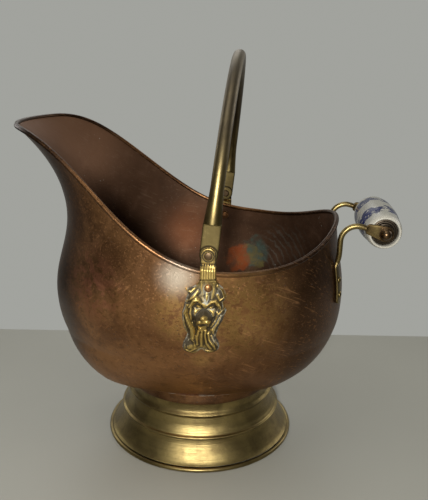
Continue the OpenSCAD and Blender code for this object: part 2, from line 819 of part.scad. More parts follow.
on_side(true) arm_burr(arm_rivet_z[1]);  // arm_burr_lower_far
grip_rod();
on_side(false) end_cap();  // end_cap_near
on_side(true) end_cap();  // end_cap_far
on_side(false) dome_nut();  // dome_nut_near
on_side(true) dome_nut();  // dome_nut_far
porcelain_grip();
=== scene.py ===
"""Copper coal scuttle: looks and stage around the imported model.

Lengths are in millimetres until a mesh is made, except the user's settings and the stage, in metres.
"""

import math
from contextlib import contextmanager

import bpy
import numpy as np
from mathutils import Matrix, Vector


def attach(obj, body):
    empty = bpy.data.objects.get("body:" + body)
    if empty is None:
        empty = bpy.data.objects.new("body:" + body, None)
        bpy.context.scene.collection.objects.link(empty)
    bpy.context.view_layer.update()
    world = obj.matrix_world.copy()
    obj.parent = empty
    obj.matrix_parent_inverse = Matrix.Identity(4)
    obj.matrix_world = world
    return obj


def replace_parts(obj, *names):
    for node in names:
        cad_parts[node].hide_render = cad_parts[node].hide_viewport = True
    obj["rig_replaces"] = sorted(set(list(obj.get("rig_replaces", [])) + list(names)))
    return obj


bl_info = {
    "name": "Copper coal scuttle",
    "version": (1, 0, 0),
    "blender": (4, 5, 0),
    "location": "3D View > Sidebar > Scuttle",
    "description": "Models the pieces of a copper coal scuttle and their finishes on its packed frame",
    "category": "Object",
}

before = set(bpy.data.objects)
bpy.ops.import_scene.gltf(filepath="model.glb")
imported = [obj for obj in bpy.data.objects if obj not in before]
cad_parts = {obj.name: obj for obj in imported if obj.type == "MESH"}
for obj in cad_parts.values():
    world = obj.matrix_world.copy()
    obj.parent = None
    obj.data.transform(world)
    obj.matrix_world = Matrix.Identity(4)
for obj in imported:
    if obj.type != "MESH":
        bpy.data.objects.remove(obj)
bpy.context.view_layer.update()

MM = 0.001

# ---------- sizes that the solids share, in mm and degrees ----------

SEAT_Z = 68.0
TURN_H = 4.0
TURN_Z = SEAT_Z + TURN_H
TURN_N = 0.6
TURN_FRONT = 101.0
TURN_BACK = 94.0
SEAT_R = 71.35
NECK_R = 70.0
FOOT_R = 92.0
ROLL_H = 4.2
COLLAR_H = 10.5
SOLDER_W = 2.2
WALL = 1.4
BELLY_Z = 150.0
BELLY_FRONT = 137.5
BELLY_BACK = 134.0
FRONT_N = 2.25
BACK_N = 2.5
FLANK_Z = 190.0
FLANK_R = 124.0
FLANK_N = 1.85
FLANK_LEAN = 0.05
MID_SHIFT = 17.0
CORNER_FRONT = 0.66
CORNER_BACK = 0.80
CORNER_H = 45.0
WAIST_Z = 226.0
WAIST_FRONT = 123.5
SPOUT_REACH = 43.0
SPOUT_N = 2.1
LIP_Z = 301.0
LIP_FLAT_X = -155.0
RIM_LOW_Z = 198.0
RIM_LOW_X = 48.0
RIM_BACK_Z = 221.3
RIM_BACK = 125.0
RIM_BACK_N = 2.8
RIM_FRONT_N = 1.25
BEAD_R = 2.1
PIVOT_X = 15.5
PIVOT_Z = 215.0
BAIL_H = 148.0
BAIL_LEAN = 6.0
BAIL_END_R = 7.2
BAIL_ROD_R = 5.25
FLAT_H = 24.0
FLAT_T = 4.0
STRAP_T = 2.5
MASK_TILT = 5.5
MASK_BEND_D = 22.0
ARM_Y = 43.7
ARM_FOOT_Y = 40.0
ARM_X = 124.4
ARM_BEND_R = 14.0
ARM_TOP_Z = 222.7
ARM_FOOT_Z0 = 150.0
ARM_FOOT_Z1 = 186.0
ARM_FLAT_T = 2.6
ARM_R = 2.5
GRIP_X = 162.8
GRIP_Z = 216.4
NUT_Y = 45.0
SEAT_GAP = 0.1
TURN_GAP = 0.3
SIDES = (("near", -1), ("far", 1))


# ---------- form of the bowl ----------


def ease(t):
    """Smooth step from 0 to 1."""
    return (1 - np.cos(np.pi * np.clip(t, 0, 1))) / 2


def signed_power(v, p):
    return np.sign(v) * np.abs(v) ** p


def swell(z, z0, r0, z1, r1, n):
    """Superellipse that leaves radius r0 at height z0 and stands upright at r1, z1."""
    h = (z1 - z0) / (1 - (r0 / r1) ** n) ** (1 / n)
    return r1 * (1 - (np.maximum(0, z1 - z) / h) ** n) ** (1 / n)


def reach_low(z, turn_r, belly_r, n):
    """Reach below the belly: out along the bottom, then up the swelling side."""
    bottom = SEAT_R + (turn_r - SEAT_R) * np.clip((z - SEAT_Z) / TURN_H, 0, 1) ** TURN_N
    return np.where(z < TURN_Z, bottom, swell(np.maximum(z, TURN_Z), TURN_Z, turn_r, BELLY_Z, belly_r, n))


def bowl_front(z):
    low = reach_low(z, TURN_FRONT, BELLY_FRONT, FRONT_N)
    middle = BELLY_FRONT + (WAIST_FRONT - BELLY_FRONT) * ease((z - BELLY_Z) / (WAIST_Z - BELLY_Z))
    spout = WAIST_FRONT + SPOUT_REACH * np.maximum(0, (z - WAIST_Z) / (LIP_Z - WAIST_Z)) ** SPOUT_N
    return np.where(z < BELLY_Z, low, np.where(z < WAIST_Z, middle, spout))


def bowl_back(z):
    low = reach_low(z, TURN_BACK, BELLY_BACK, BACK_N)
    high = BELLY_BACK + (RIM_BACK - BELLY_BACK) * ease((z - BELLY_Z) / (RIM_BACK_Z - BELLY_Z))
    return np.where(z < BELLY_Z, low, high)


def bowl_half(z):
    return swell(z, SEAT_Z, SEAT_R, FLANK_Z, FLANK_R, FLANK_N) + FLANK_LEAN * np.maximum(0, z - FLANK_Z)


def bowl_mid(z):
    return -MID_SHIFT * np.clip((z - SEAT_Z) / (BELLY_Z - SEAT_Z), 0, 1)


def corner(z, back):
    """Roundness of the plan at height z; 1 is an ellipse, less is squarer."""
    low = np.where(back, CORNER_BACK, CORNER_FRONT)
    return 1 - (1 - low) * np.clip(1 - (z - SEAT_Z) / CORNER_H, 0, 1)


def bowl_point(a, z):
    """Point of the outer face at bearing a in radians (0 is the back, pi the spout) and height z."""
    z = np.asarray(z, float)
    mid = bowl_mid(z)
    back = np.cos(a) > 0
    reach = np.where(back, bowl_back(z) - mid, bowl_front(z) + mid)
    p = corner(z, back)
    x = mid + reach * signed_power(np.cos(a), p)
    y = bowl_half(z) * signed_power(np.sin(a), p)
    return np.stack(np.broadcast_arrays(x, y, z), -1)


def bearing_at(x, z):
    """Bearing of the point of the outer face over x at height z, on the side of positive y."""
    mid = bowl_mid(z)
    back = x > mid
    reach = np.where(back, bowl_back(z) - mid, bowl_front(z) + mid)
    return np.arccos(np.clip(signed_power((x - mid) / reach, 1 / corner(z, back)), -1, 1))


def bowl_y(x, z):
    return bowl_point(bearing_at(x, z), z)[..., 1]


def rim_z(x):
    """Height of the rim over a place x."""
    to_back = np.clip((x - RIM_LOW_X) / (RIM_BACK - RIM_LOW_X), 0, 1)
    to_lip = np.clip((RIM_LOW_X - x) / (RIM_LOW_X - LIP_FLAT_X), 0, 1)
    back = RIM_LOW_Z + (RIM_BACK_Z - RIM_LOW_Z) * to_back**RIM_BACK_N
    front = RIM_LOW_Z + (LIP_Z - RIM_LOW_Z) * ease(to_lip**RIM_FRONT_N)
    return np.where(x > RIM_LOW_X, back, front)


def rim_height(a):
    """Height at which the bowl's face meets the rim at each bearing, found by halving."""
    lo = np.full_like(a, RIM_LOW_Z - 5)
    hi = np.full_like(a, LIP_Z + 1)
    for _ in range(26):
        z = (lo + hi) / 2
        above = z > rim_z(bowl_point(a, z)[..., 0])
        hi = np.where(above, z, hi)
        lo = np.where(above, lo, z)
    return (lo + hi) / 2


def unit(v):
    return v / np.linalg.norm(v, axis=-1, keepdims=True)


def bowl_normal(a, z):
    """Outward normal of the bowl's face, from its slopes."""
    step = 0.001
    along = bowl_point(a + step, z) - bowl_point(a - step, z)
    up = bowl_point(a, z + step * 50) - bowl_point(a, z - step * 50)
    return unit(np.cross(along, up))


RIM_Y = float(bowl_y(PIVOT_X, rim_z(PIVOT_X)))
STRAP_IN = RIM_Y - 0.8
FLAT_Y = STRAP_IN - TURN_GAP - FLAT_T / 2


def mask_middle(z):
    """The mask's middle line leans to the spout below the strap."""
    return PIVOT_X - math.tan(math.radians(MASK_TILT)) * np.maximum(0, PIVOT_Z - z - MASK_BEND_D)


def mask_back(x, z):
    """Depth of the casting's back: upright at the pivot, over the bead, then on the bowl."""
    rim = rim_z(x)
    over = bowl_y(x, rim) + BEAD_R - WALL / 2 + SEAT_GAP
    on_bowl = bowl_y(x, z) + SEAT_GAP
    above = ease((z - rim - BEAD_R - 1) / 4)
    below = ease((rim - BEAD_R - 1 - z) / 7)
    return np.where(z > rim, over + (STRAP_IN - over) * above, over + (on_bowl - over) * below)


# ---------- modelling by hand ----------


def start_fresh():
    """Leave edit mode and select nothing, so that an operator acts on the new piece alone."""
    if bpy.context.object and bpy.context.object.mode != "OBJECT":
        bpy.ops.object.mode_set(mode="OBJECT")
    bpy.ops.object.select_all(action="DESELECT")


def take(piece):
    """Select one piece alone."""
    start_fresh()
    piece.select_set(True)
    bpy.context.view_layer.objects.active = piece


def named(name):
    """The piece just added, with its name on object and mesh."""
    piece = bpy.context.object
    piece.name = name
    piece.data.name = name
    return piece


def read_points(piece):
    points = np.empty(len(piece.data.vertices) * 3)
    piece.data.vertices.foreach_get("co", points)
    return points.reshape(-1, 3)


def write_points(piece, points):
    piece.data.vertices.foreach_set("co", np.ascontiguousarray(points, dtype=float).ravel())
    piece.data.update()


@contextmanager
def editing():
    """Edit mode with all selected; object mode again at its end."""
    bpy.ops.object.mode_set(mode="EDIT")
    bpy.ops.mesh.select_all(action="SELECT")
    yield
    bpy.ops.object.mode_set(mode="OBJECT")


def edit_all(piece, closed=True):
    """Merge what lies together and turn all faces outward; a closed piece gets its open ends filled."""
    with editing():
        bpy.ops.mesh.remove_doubles(threshold=1e-6)
        if closed:
            bpy.ops.mesh.select_all(action="DESELECT")
            bpy.ops.mesh.select_mode(type="EDGE")
            bpy.ops.mesh.select_non_manifold(use_multi_face=False, use_non_contiguous=False, use_verts=False)
            if piece.data.total_edge_sel:
                bpy.ops.mesh.edge_face_add()
            bpy.ops.mesh.select_mode(type="VERT")
            bpy.ops.mesh.select_all(action="SELECT")
        bpy.ops.mesh.normals_make_consistent(inside=False)


def soften(piece, angle):
    """Smooth shading that keeps edges sharper than angle, in degrees."""
    take(piece)
    bpy.ops.object.shade_smooth_by_angle(angle=math.radians(angle))


def draped(name, cols, rows, place, closed=True, angle=40):
    """Add a grid and lay it over a form: place(u, v) gives points in mm, with u and v from 0 to 1."""
    start_fresh()
    bpy.ops.mesh.primitive_grid_add(x_subdivisions=cols, y_subdivisions=rows, size=1)
    piece = named(name)
    flat = read_points(piece)
    write_points(piece, place(flat[:, 0] + 0.5, flat[:, 1] + 0.5) * MM)
    edit_all(piece, closed)
    soften(piece, angle)
    return piece


def turned(name, profile, axis_at=(0, 0, 0), axis=(0, 0, 1), steps=96, angle=32):
    """Draw a closed profile of (radius, height) in mm by extruding one corner, then spin it."""
    start_fresh()
    along = Vector(axis).normalized()
    side = along.orthogonal().normalized() if abs(along.z) < 0.99 else Vector((1, 0, 0))
    middle = Vector(axis_at)
    points = [(middle + side * r + along * h) * MM for r, h in profile]
    bpy.ops.mesh.primitive_plane_add(size=0.001, location=points[0])
    piece = named(name)
    with editing():
        bpy.ops.mesh.merge(type="CENTER")
        for here, there in zip(points, points[1:] + points[:1]):
            bpy.ops.mesh.extrude_vertices_move(TRANSFORM_OT_translate={"value": there - here})
    bpy.ops.object.transform_apply(location=True)
    with editing():
        bpy.ops.mesh.spin(steps=steps, angle=2 * math.pi, center=middle * MM, axis=along)
        bpy.ops.mesh.select_all(action="SELECT")
        bpy.ops.mesh.remove_doubles(threshold=2e-6)
        bpy.ops.mesh.normals_make_consistent(inside=False)
    soften(piece, angle)
    return piece


def catmull(rows, share):
    """Rows of numbers read at a share of the way along them, smoothly."""
    rows = np.asarray(rows, float)
    at = np.clip(share, 0, 1) * (len(rows) - 1)
    k = np.clip(np.floor(at).astype(int), 0, len(rows) - 2)
    t = (at - k)[:, None]
    a, b, c, d = (rows[np.clip(k + shift, 0, len(rows) - 1)] for shift in (-1, 0, 1, 2))
    return 0.5 * (2 * b + (c - a) * t + (2 * a - 5 * b + 4 * c - d) * t**2 + (3 * b - a - 3 * c + d) * t**3)


def rounded(points, cuts):
    """Points in mm along a smooth line through a profile's main points, with cuts steps to each."""
    shares = np.arange((len(points) - 1) * cuts + 1) / ((len(points) - 1) * cuts)
    return [tuple(float(part) for part in point) for point in catmull(points, shares)]


def mirrored(piece, name):
    """A copy with its own mesh on the far side of the middle plane; it stands for no node yet."""
    take(piece)
    bpy.ops.object.duplicate(linked=False)
    other = named(name)
    other["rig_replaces"] = []
    with editing():
        bpy.ops.transform.mirror(constraint_axis=(False, True, False), orient_type="GLOBAL",
                                 center_override=(0, 0, 0))
        bpy.ops.mesh.normals_make_consistent(inside=False)
    return other


def dress(piece, node, finish=None, body="root"):
    """Give a piece the CAD node that it stands for, its body, and a finish if it has none yet."""
    if finish:
        piece.data.materials.append(bpy.data.materials[finish])
    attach(piece, body)
    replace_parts(piece, node)


def ripple(*turns):
    """A gentle, repeatable unevenness between -1 and 1 from a few angles in radians."""
    return sum(np.sin(turn + 1.7 * k) for k, turn in enumerate(turns)) / len(turns)


def gap_to_line(x, y, line):
    """Distance in the plane from points to a line of corners, and how far along the line from 0 to 1."""
    nearest = np.full(np.shape(x), 1e9)
    share = np.zeros(np.shape(x))
    count = len(line) - 1
    for k in range(count):
        (ax, ay), (bx, by) = line[k], line[k + 1]
        dx, dy = bx - ax, by - ay
        t = np.clip(((x - ax) * dx + (y - ay) * dy) / (dx**2 + dy**2), 0, 1)
        gap = np.hypot(x - ax - t * dx, y - ay - t * dy)
        closer = gap < nearest
        nearest = np.where(closer, gap, nearest)
        share = np.where(closer, (k + t) / count, share)
    return nearest, share


# ---------- bowl ----------

FLOOR_SHARE = 0.07  # share of the rows that lie on the floor
DENT = 0.35         # depth of the sheet's dents, which start at DENT_Z
DENT_Z = 85
CREASE_AT = 285     # bearing of the rolled edge's crease round the wire, and its width in radians
CREASE_WIDTH = 0.22


def bowl_skin(u, v):
    """Outer face of the bowl: v runs from the middle of its floor, out to the seat and up to the rim."""
    a = 2 * np.pi * u
    rise = np.clip((v - FLOOR_SHARE) / (1 - FLOOR_SHARE), 0, 1)
    z = SEAT_Z + (rim_height(a) - SEAT_Z) * rise**1.6
    skin = bowl_point(a, z)
    dent = DENT * ripple(3 * a + z / 31, 5 * a - z / 23, 2 * a + z / 17) * ease((z - DENT_Z) / 30)
    skin[:, :2] *= (1 - np.abs(dent) / 125)[:, None]
    inside = np.clip(v / FLOOR_SHARE, 0, 1)
    return np.where((v < FLOOR_SHARE)[:, None], skin * np.stack([inside, inside, 0 * v + 1], -1), skin)


def bead_skin(u, v):
    """The sheet is rolled outward over a wire all round the rim; its cut edge leaves a crease underneath."""
    a = 2 * np.pi * u
    z = rim_height(a)
    here = bowl_point(a, z)
    step = 0.01
    ahead = unit(bowl_point(a + step, rim_height(a + step)) - bowl_point(a - step, rim_height(a - step)))
    out = bowl_normal(a, z)
    out = unit(out - ahead * np.sum(out * ahead, -1, keepdims=True))
    up = np.cross(ahead, out)
    w = 2 * np.pi * v
    past = np.remainder(w - math.radians(CREASE_AT), 2 * np.pi)
    crease = np.exp(-((past / CREASE_WIDTH) ** 2)) + np.exp(-(((2 * np.pi - past) / CREASE_WIDTH) ** 2))
    r = BEAD_R * (0.985 - 0.22 * crease + 0.012 * ripple(37 * a, 61 * a + w, 13 * a))
    return here - out * WALL / 2 + (out * np.cos(w)[:, None] + up * np.sin(w)[:, None]) * r[:, None]


# ---------- bail ----------


def bail_skin(u, v):
    """Round rod with flat forged ends: v runs from the near eye over the arch to the far eye."""
    side = np.where(v < 0.5, -1.0, 1.0)
    s = np.minimum(v, 1 - v) * 2
    flat_share, step_share = 0.34, 0.40
    h_flat = -BAIL_END_R + (FLAT_H + BAIL_END_R) * (s / flat_share)
    t = np.clip((s - step_share) / (1 - step_share), 0, 1) * np.pi / 2
    h_rod = FLAT_H + (BAIL_H - FLAT_H) * np.sin(t)
    on_flat = s <= flat_share
    blend = np.clip((s - flat_share) / (step_share - flat_share), 0, 1)
    step_h = 1.3
    h_step = np.where(s < step_share, FLAT_H + step_h * blend, np.maximum(h_rod, FLAT_H + step_h))
    h = np.where(on_flat, h_flat, h_step)
    rod_r = BAIL_ROD_R + (BAIL_END_R - BAIL_ROD_R) * np.clip(1 - (h - FLAT_H) / 30, 0, 1) ** 1.5
    width = np.where(on_flat, np.sqrt(np.maximum(0, BAIL_END_R**2 - np.minimum(h, 0) ** 2)), rod_r)
    b = ease(blend)
    depth = FLAT_T / 2 + (rod_r - FLAT_T / 2) * b
    power = np.where(on_flat, 0.28, 0.28 + 0.72 * b)
    arch = FLAT_Y - 0.8
    mid_y = FLAT_Y + (arch * np.cos(t) - FLAT_Y) * b
    lean_t = np.where(s < step_share, 0, t)
    tangent = unit(np.stack([0 * t, -side * arch * np.sin(lean_t), (BAIL_H - FLAT_H) * np.cos(lean_t)], -1))
    across = np.array([1.0, 0, 0])
    outward = np.cross(across, tangent) * side[:, None] * -1
    w = 2 * np.pi * u
    local = (across * (width * signed_power(np.cos(w), power))[:, None]
             + outward * (depth * signed_power(np.sin(w), power))[:, None])
    points = np.stack([0 * h, side * mid_y, h], -1) + local
    lean = math.radians(BAIL_LEAN)
    x = points[:, 0] * math.cos(lean) + points[:, 2] * math.sin(lean)
    z = -points[:, 0] * math.sin(lean) + points[:, 2] * math.cos(lean)
    return np.stack([x + PIVOT_X, points[:, 1], z + PIVOT_Z], -1)


# ---------- lion mask ----------

STRAP_SHOWN = 12.4
MASK_SHOWN = 86.2

# Edge of the casting: depth below the pivot, reach to the spout side, reach to the other side
MASK_EDGE = [
    (17, 6.2, 6.2), (21, 7.0, 7.2), (24, 10.2, 9.6), (26.5, 17.2, 12.0), (30, 14.6, 14.0),
    (34, 15.4, 15.6), (38, 16.4, 13.8), (42, 16.8, 15.0), (46, 17.6, 17.0), (50, 17.4, 15.8),
    (55, 16.6, 14.8), (60, 15.4, 12.6), (66, 12.0, 11.4), (70, 12.6, 11.0), (75, 14.6, 13.6),
    (80, 15.0, 14.8), (84, 13.8, 14.2), (MASK_SHOWN, 12.0, 12.6),
]

# Places where pale polish has dried: across, depth, half width, half height
MASK_CHALK = [
    (-7.0, 45.9, 2.8, 3.4), (6.2, 46.6, 2.8, 3.8), (1.3, 35.3, 2.6, 4.4), (12.6, 50.0, 2.4, 6.0),
    (0, 44, 6, 1.6), (-10.5, 29, 2.6, 3.0), (9.5, 29, 3.0, 4.0), (-1.5, 27, 4.6, 4.4),
    (9.5, 57, 2.4, 5.0), (-12.0, 72, 2.2, 5.0), (9.5, 70, 2.4, 4.4), (0.5, 83, 3.2, 2.4),
    (0, 37, 2.0, 3.0),
]

# Strokes of tarnish and painted shade (below 0) and of rubbed metal and painted highlight, as on the nose and
# chin (above 0): corners, half width, strength
MASK_TONES = [
    ([(-6.8, 55.6), (-4.2, 49.6), (-0.6, 45.4), (3.4, 48.4), (6.4, 53.4)], 1.6, -0.55),
    ([(-9.2, 42.0), (-6.6, 38.8), (-3.2, 40.0)], 0.9, -0.45),
    ([(2.4, 42.0), (4.6, 40.0), (8.2, 42.4)], 0.9, -0.45),
    ([(-1.8, 57.6), (0.4, 57.4), (2.8, 58.0)], 0.9, -0.5),
    ([(-9.4, 44.0), (-8.6, 52.0), (-6.2, 58.6)], 1.0, -0.35),
    ([(9.4, 44.0), (8.8, 52.0), (6.4, 60.0)], 1.0, -0.35),
    ([(-3.6, 47.8), (-2.2, 54.4), (-4.6, 60.0)], 1.2, -0.20),
    ([(-9.8, 74.6), (-5.6, 73.4)], 2.2, -0.40), ([(3.0, 66), (5.4, 74), (9.6, 80)], 0.5, -0.3),
    ([(0.4, 51.8), (0.6, 52.8)], 1.5, 0.50), ([(-2.0, 61.2), (0.6, 61.2)], 1.5, 0.50),
    ([(-5.2, 41.4), (-4.4, 41.4)], 0.8, 0.40), ([(4.6, 42.9), (5.2, 42.9)], 0.7, 0.35),
    ([(-13.9, 44.7), (-12.3, 50.6), (-8.8, 57.8), (-5.3, 64.9), (-4.6, 70.0)], 1.7, 0.28),
    ([(-9.4, 35.2), (-7.4, 34.0)], 1.2, 0.30), ([(-2.0, 66.0), (-1.0, 72.0)], 1.4, 0.22),
]

# Modelled ridges: corners as (across, depth), half width and height
MASK_RIDGES = [
    ([(-4.6, 19), (-4.6, 24), (-2.8, 30)], 1.3, 0.9),
    ([(4.9, 22), (5.4, 27), (4.6, 34)], 1.2, 0.9),
    ([(0.3, 30), (0.9, 36)], 1.5, 1.5),
    ([(-9.5, 25), (-12, 28), (-16, 26.5)], 1.3, 1.6),
    ([(-7, 28), (-10, 32), (-14.6, 36)], 1.5, 1.8),
    ([(8, 24), (12, 28), (14.2, 33), (11, 35.6), (8.6, 31)], 1.3, 1.9),
    ([(-12.2, 41), (-9.6, 35.4), (-5.6, 35.0), (-2.6, 38.4)], 1.4, 2.2),
    ([(1.6, 39.6), (4.4, 36.6), (7.8, 36.4), (10.2, 40)], 1.4, 2.2),
    ([(-9.4, 41.2), (-6.4, 38.0), (-3.0, 39.6), (-1.8, 42.2)], 0.8, -1.8),
    ([(1.2, 42.8), (3.4, 40.2), (6.6, 39.4), (9.0, 42.6)], 0.8, -1.8),
    ([(-0.6, 36), (-0.4, 42)], 3.2, 1.5),
    ([(-8.2, 53), (-6.0, 47.6), (-1.0, 43.2), (4.6, 47.2), (7.6, 53)], 1.7, -2.6),
    ([(-9.0, 43.0), (-8.2, 52.0), (-5.2, 60.0), (-5.0, 66.0)], 1.0, -1.6),
    ([(8.8, 42.0), (8.4, 50.0), (5.6, 58.0), (5.2, 63.0)], 1.0, -1.6),
    ([(-13.8, 39), (-15, 46), (-12.6, 52), (-8.4, 61), (-7.2, 70)], 1.8, 3.2),
    ([(-10.6, 40), (-11.2, 46), (-8.8, 53), (-5.6, 60)], 0.9, 1.3),
    ([(-16, 47), (-15, 56), (-11.4, 64)], 0.9, 1.3),
    ([(9.2, 37), (12.0, 41), (13.4, 45)], 1.3, 2.0),
    ([(13.6, 38), (14.6, 43), (11.4, 47.4), (9, 45)], 1.2, 1.9),
    ([(13.4, 49), (11.6, 55), (8.0, 62)], 1.5, 2.6),
    ([(10.2, 49.6), (8.4, 55), (6.2, 59)], 1.0, 1.6),
    ([(10.6, 60), (8.6, 64), (10, 68)], 1.0, 1.2),
    ([(-3.2, 63), (-4.2, 69), (-3.0, 76)], 1.1, 1.8),
    ([(-0.3, 63), (-0.2, 70), (0.4, 78)], 1.2, 1.8),
    ([(2.6, 63), (2.6, 68), (4.4, 75), (8, 80.6)], 1.1, 1.8),
    ([(4.8, 66), (6.2, 72), (10.8, 77.6), (12, 82)], 1.1, 1.7),
    ([(7.6, 68), (10.4, 73), (12.6, 77)], 1.0, 1.4),
    ([(-10.4, 71), (-12.6, 76), (-12.6, 81), (-8.6, 83.6), (-4.2, 80.4)], 1.0, 1.3),
    ([(-9, 70), (-5.6, 73.4), (-4.4, 78)], 1.0, 1.2),
    ([(2.2, 82.2), (6, 83.2), (10, 84)], 0.9, 1.0),
]

# Modelled bumps: across, depth, half width, half height, height
MASK_BUMPS = [
    (-7.8, 33.0, 1.7, 1.5, 1.2), (-5.4, 41.0, 3.0, 1.6, -1.4), (4.8, 42.2, 3.0, 1.6, -1.4),
    (-5.0, 40.6, 1.5, 0.9, 2.0), (4.6, 41.8, 1.5, 0.9, 1.6), (-0.4, 50.2, 2.9, 1.9, 3.4),
    (-2.9, 54.2, 2.3, 1.9, 2.0), (2.9, 54.4, 2.3, 1.9, 1.9), (-6.8, 46.6, 3.2, 3.8, 1.9),
    (6.2, 47.2, 3.2, 3.8, 1.7), (-1.6, 59.8, 2.3, 2.0, 3.0), (0.2, 57.0, 3.0, 0.8, -2.4),
    (-4.4, 60.8, 1.3, 2.4, -1.6), (3.9, 60.8, 1.3, 2.4, -1.6), (-7.9, 78, 4.2, 4.0, 2.6),
    (8.2, 77, 4.6, 4.6, 1.8), (0, 52, 10.5, 15, 1.6), (-2, 24, 3.5, 2.5, 0.5),
]


def mask_half(x, d):
    """Reach of the casting's edge at depth d, on the side of x."""
    depths, left, right = zip(*MASK_EDGE)
    reach = np.where(x < 0, np.interp(d, depths, left), np.interp(d, depths, right))
    return np.where(d < depths[0], STRAP_SHOWN / 2, reach)


def mask_relief(x, d):
    """Height of the modelling over the casting's plain face."""
    high = np.zeros(np.shape(x))
    for line, width, height in sorted(MASK_RIDGES, key=lambda ridge: ridge[2] < 0):
        gap, share = gap_to_line(x, d, line)
        taper = 0.55 + 0.45 * np.sin(np.pi * np.clip(share, 0.06, 0.94))
        ridge = height * taper * np.exp(-((gap / (width * (0.7 + 0.3 * taper))) ** 2))
        high = np.where(height > 0, np.maximum(high, ridge) + 0.22 * np.minimum(high, ridge), high + ridge)
    for cx, cd, wx, wd, height in MASK_BUMPS:
        high = high + height * np.exp(-(((x - cx) / wx) ** 2) - ((d - cd) / wd) ** 2)
    hair = 0.16 * np.sin(x * 5.2 + 2.0 * np.sin(d / 4)) * ease((d - 44) / 6) * ease((np.abs(x) - 3) / 4)
    whisker = 0.18 * np.sin(d * 4.4 + x) * np.exp(-(((np.abs(x) - 6.6) / 2.6) ** 2) - ((d - 47) / 4) ** 2)
    return (high + hair + whisker) * ease((d - 17) / 5)


def mask_tone(x, d):
    """How bright the mask is: its high places bright with rubbing and painted highlight, its hollows dark
    with patina and painted shade, then the strokes.
    """
    high = mask_relief(x, d)
    turns = np.arange(0, 6.2, 0.785)
    around = sum(mask_relief(x + 1.4 * math.cos(t), d + 1.4 * math.sin(t)) for t in turns) / len(turns)
    tone = 0.44 + 0.62 * (high - around) + 0.04 * high
    for line, width, strength in MASK_TONES:
        tone = tone + strength * np.exp(-((gap_to_line(x, d, line)[0] / width) ** 2))
    return np.clip(tone, 0, 1)


def strap_relief(x, d):
    """Fine reeds over the bend, a groove across it, and a raised lip round the eye."""
    reeds = 0.11 * np.cos(x * 3.3) * np.exp(-(((d - 13) / 4.6) ** 4))
    groove = -0.45 * np.exp(-(((d - 6.8) / 0.8) ** 2)) - 0.25 * np.exp(-(((d - 19.0) / 0.6) ** 2))
    lip = 0.25 * np.exp(-(((np.hypot(x, d) - 5.4) / 0.5) ** 2)) * (d < 3)
    return reeds + groove + lip


def strap_tone(x, d):
    """How bright the strap is: pitted round the eye, dark with tarnish and painted shade in the groove, round
    the rivet and along its edges, golden with rubbing over the bend.
    """
    pits = 0.20 * ripple(x * 5.1 + d * 2.3, d * 6.7 - x * 2.9, x * 9.1 - d * 4.3)
    plate = 0.47 + pits - 0.35 * np.exp(-(((np.hypot(x, d) - 4.3) / 0.55) ** 2))
    bend = 0.66 + 0.16 * np.cos(x * 3.3) + 0.5 * pits
    tone = np.where(d < 6, plate, np.where(d < 17.5, bend, 0.42 + pits))
    return tone - 0.4 * np.exp(-(((d - 6.9) / 1.1) ** 2)) - 0.3 * np.exp(-(((np.abs(x) - 5.6) / 0.5) ** 2))


def mask_skin(u, v):
    """The casting's front, rolled sides and plain back: u runs round a level section, v down."""
    front_share = 0.72
    on_front = u <= front_share
    across = -1 + 2 * np.where(on_front, u / front_share, 1 - (u - front_share) / (1 - front_share))
    notch = 4.6 * np.exp(-(((across - 0.04) / 0.22) ** 2)) + 3.6 * np.abs(across) ** 5
    length = MASK_SHOWN - notch
    d = -STRAP_SHOWN / 2 + (length + STRAP_SHOWN / 2) * v
    z = PIVOT_Z - d
    mid = mask_middle(z)
    round_top = np.sqrt(np.maximum(0, (STRAP_SHOWN / 2) ** 2 - np.minimum(d, 0) ** 2))
    lower = np.clip((d - length + 2.6) / 2.6, 0, 1)
    x = across * np.where(d < 0, round_top, mask_half(across, d))
    edge = np.clip((np.abs(across) - 0.88) / 0.12, 0, 1)
    margin = (1 - edge**2 * 0.75) * (1 - 0.4 * lower)
    high = mask_relief(x, d) * (1 - edge**1.5 * 0.9) + strap_relief(x, d)
    back = mask_back(mid + x, z)
    front = back + STRAP_T * margin + np.maximum(high, -STRAP_T * 0.7) * (1 - lower)
    y = -np.where(on_front & (edge < 1), front, back)
    return np.stack([mid + x, y, z], -1)


# ---------- rear handle ----------


def arm_bearing(z):
    """Bearing of the near arm's foot at height z."""
    return -math.asin(ARM_FOOT_Y / float(bowl_half(z)))


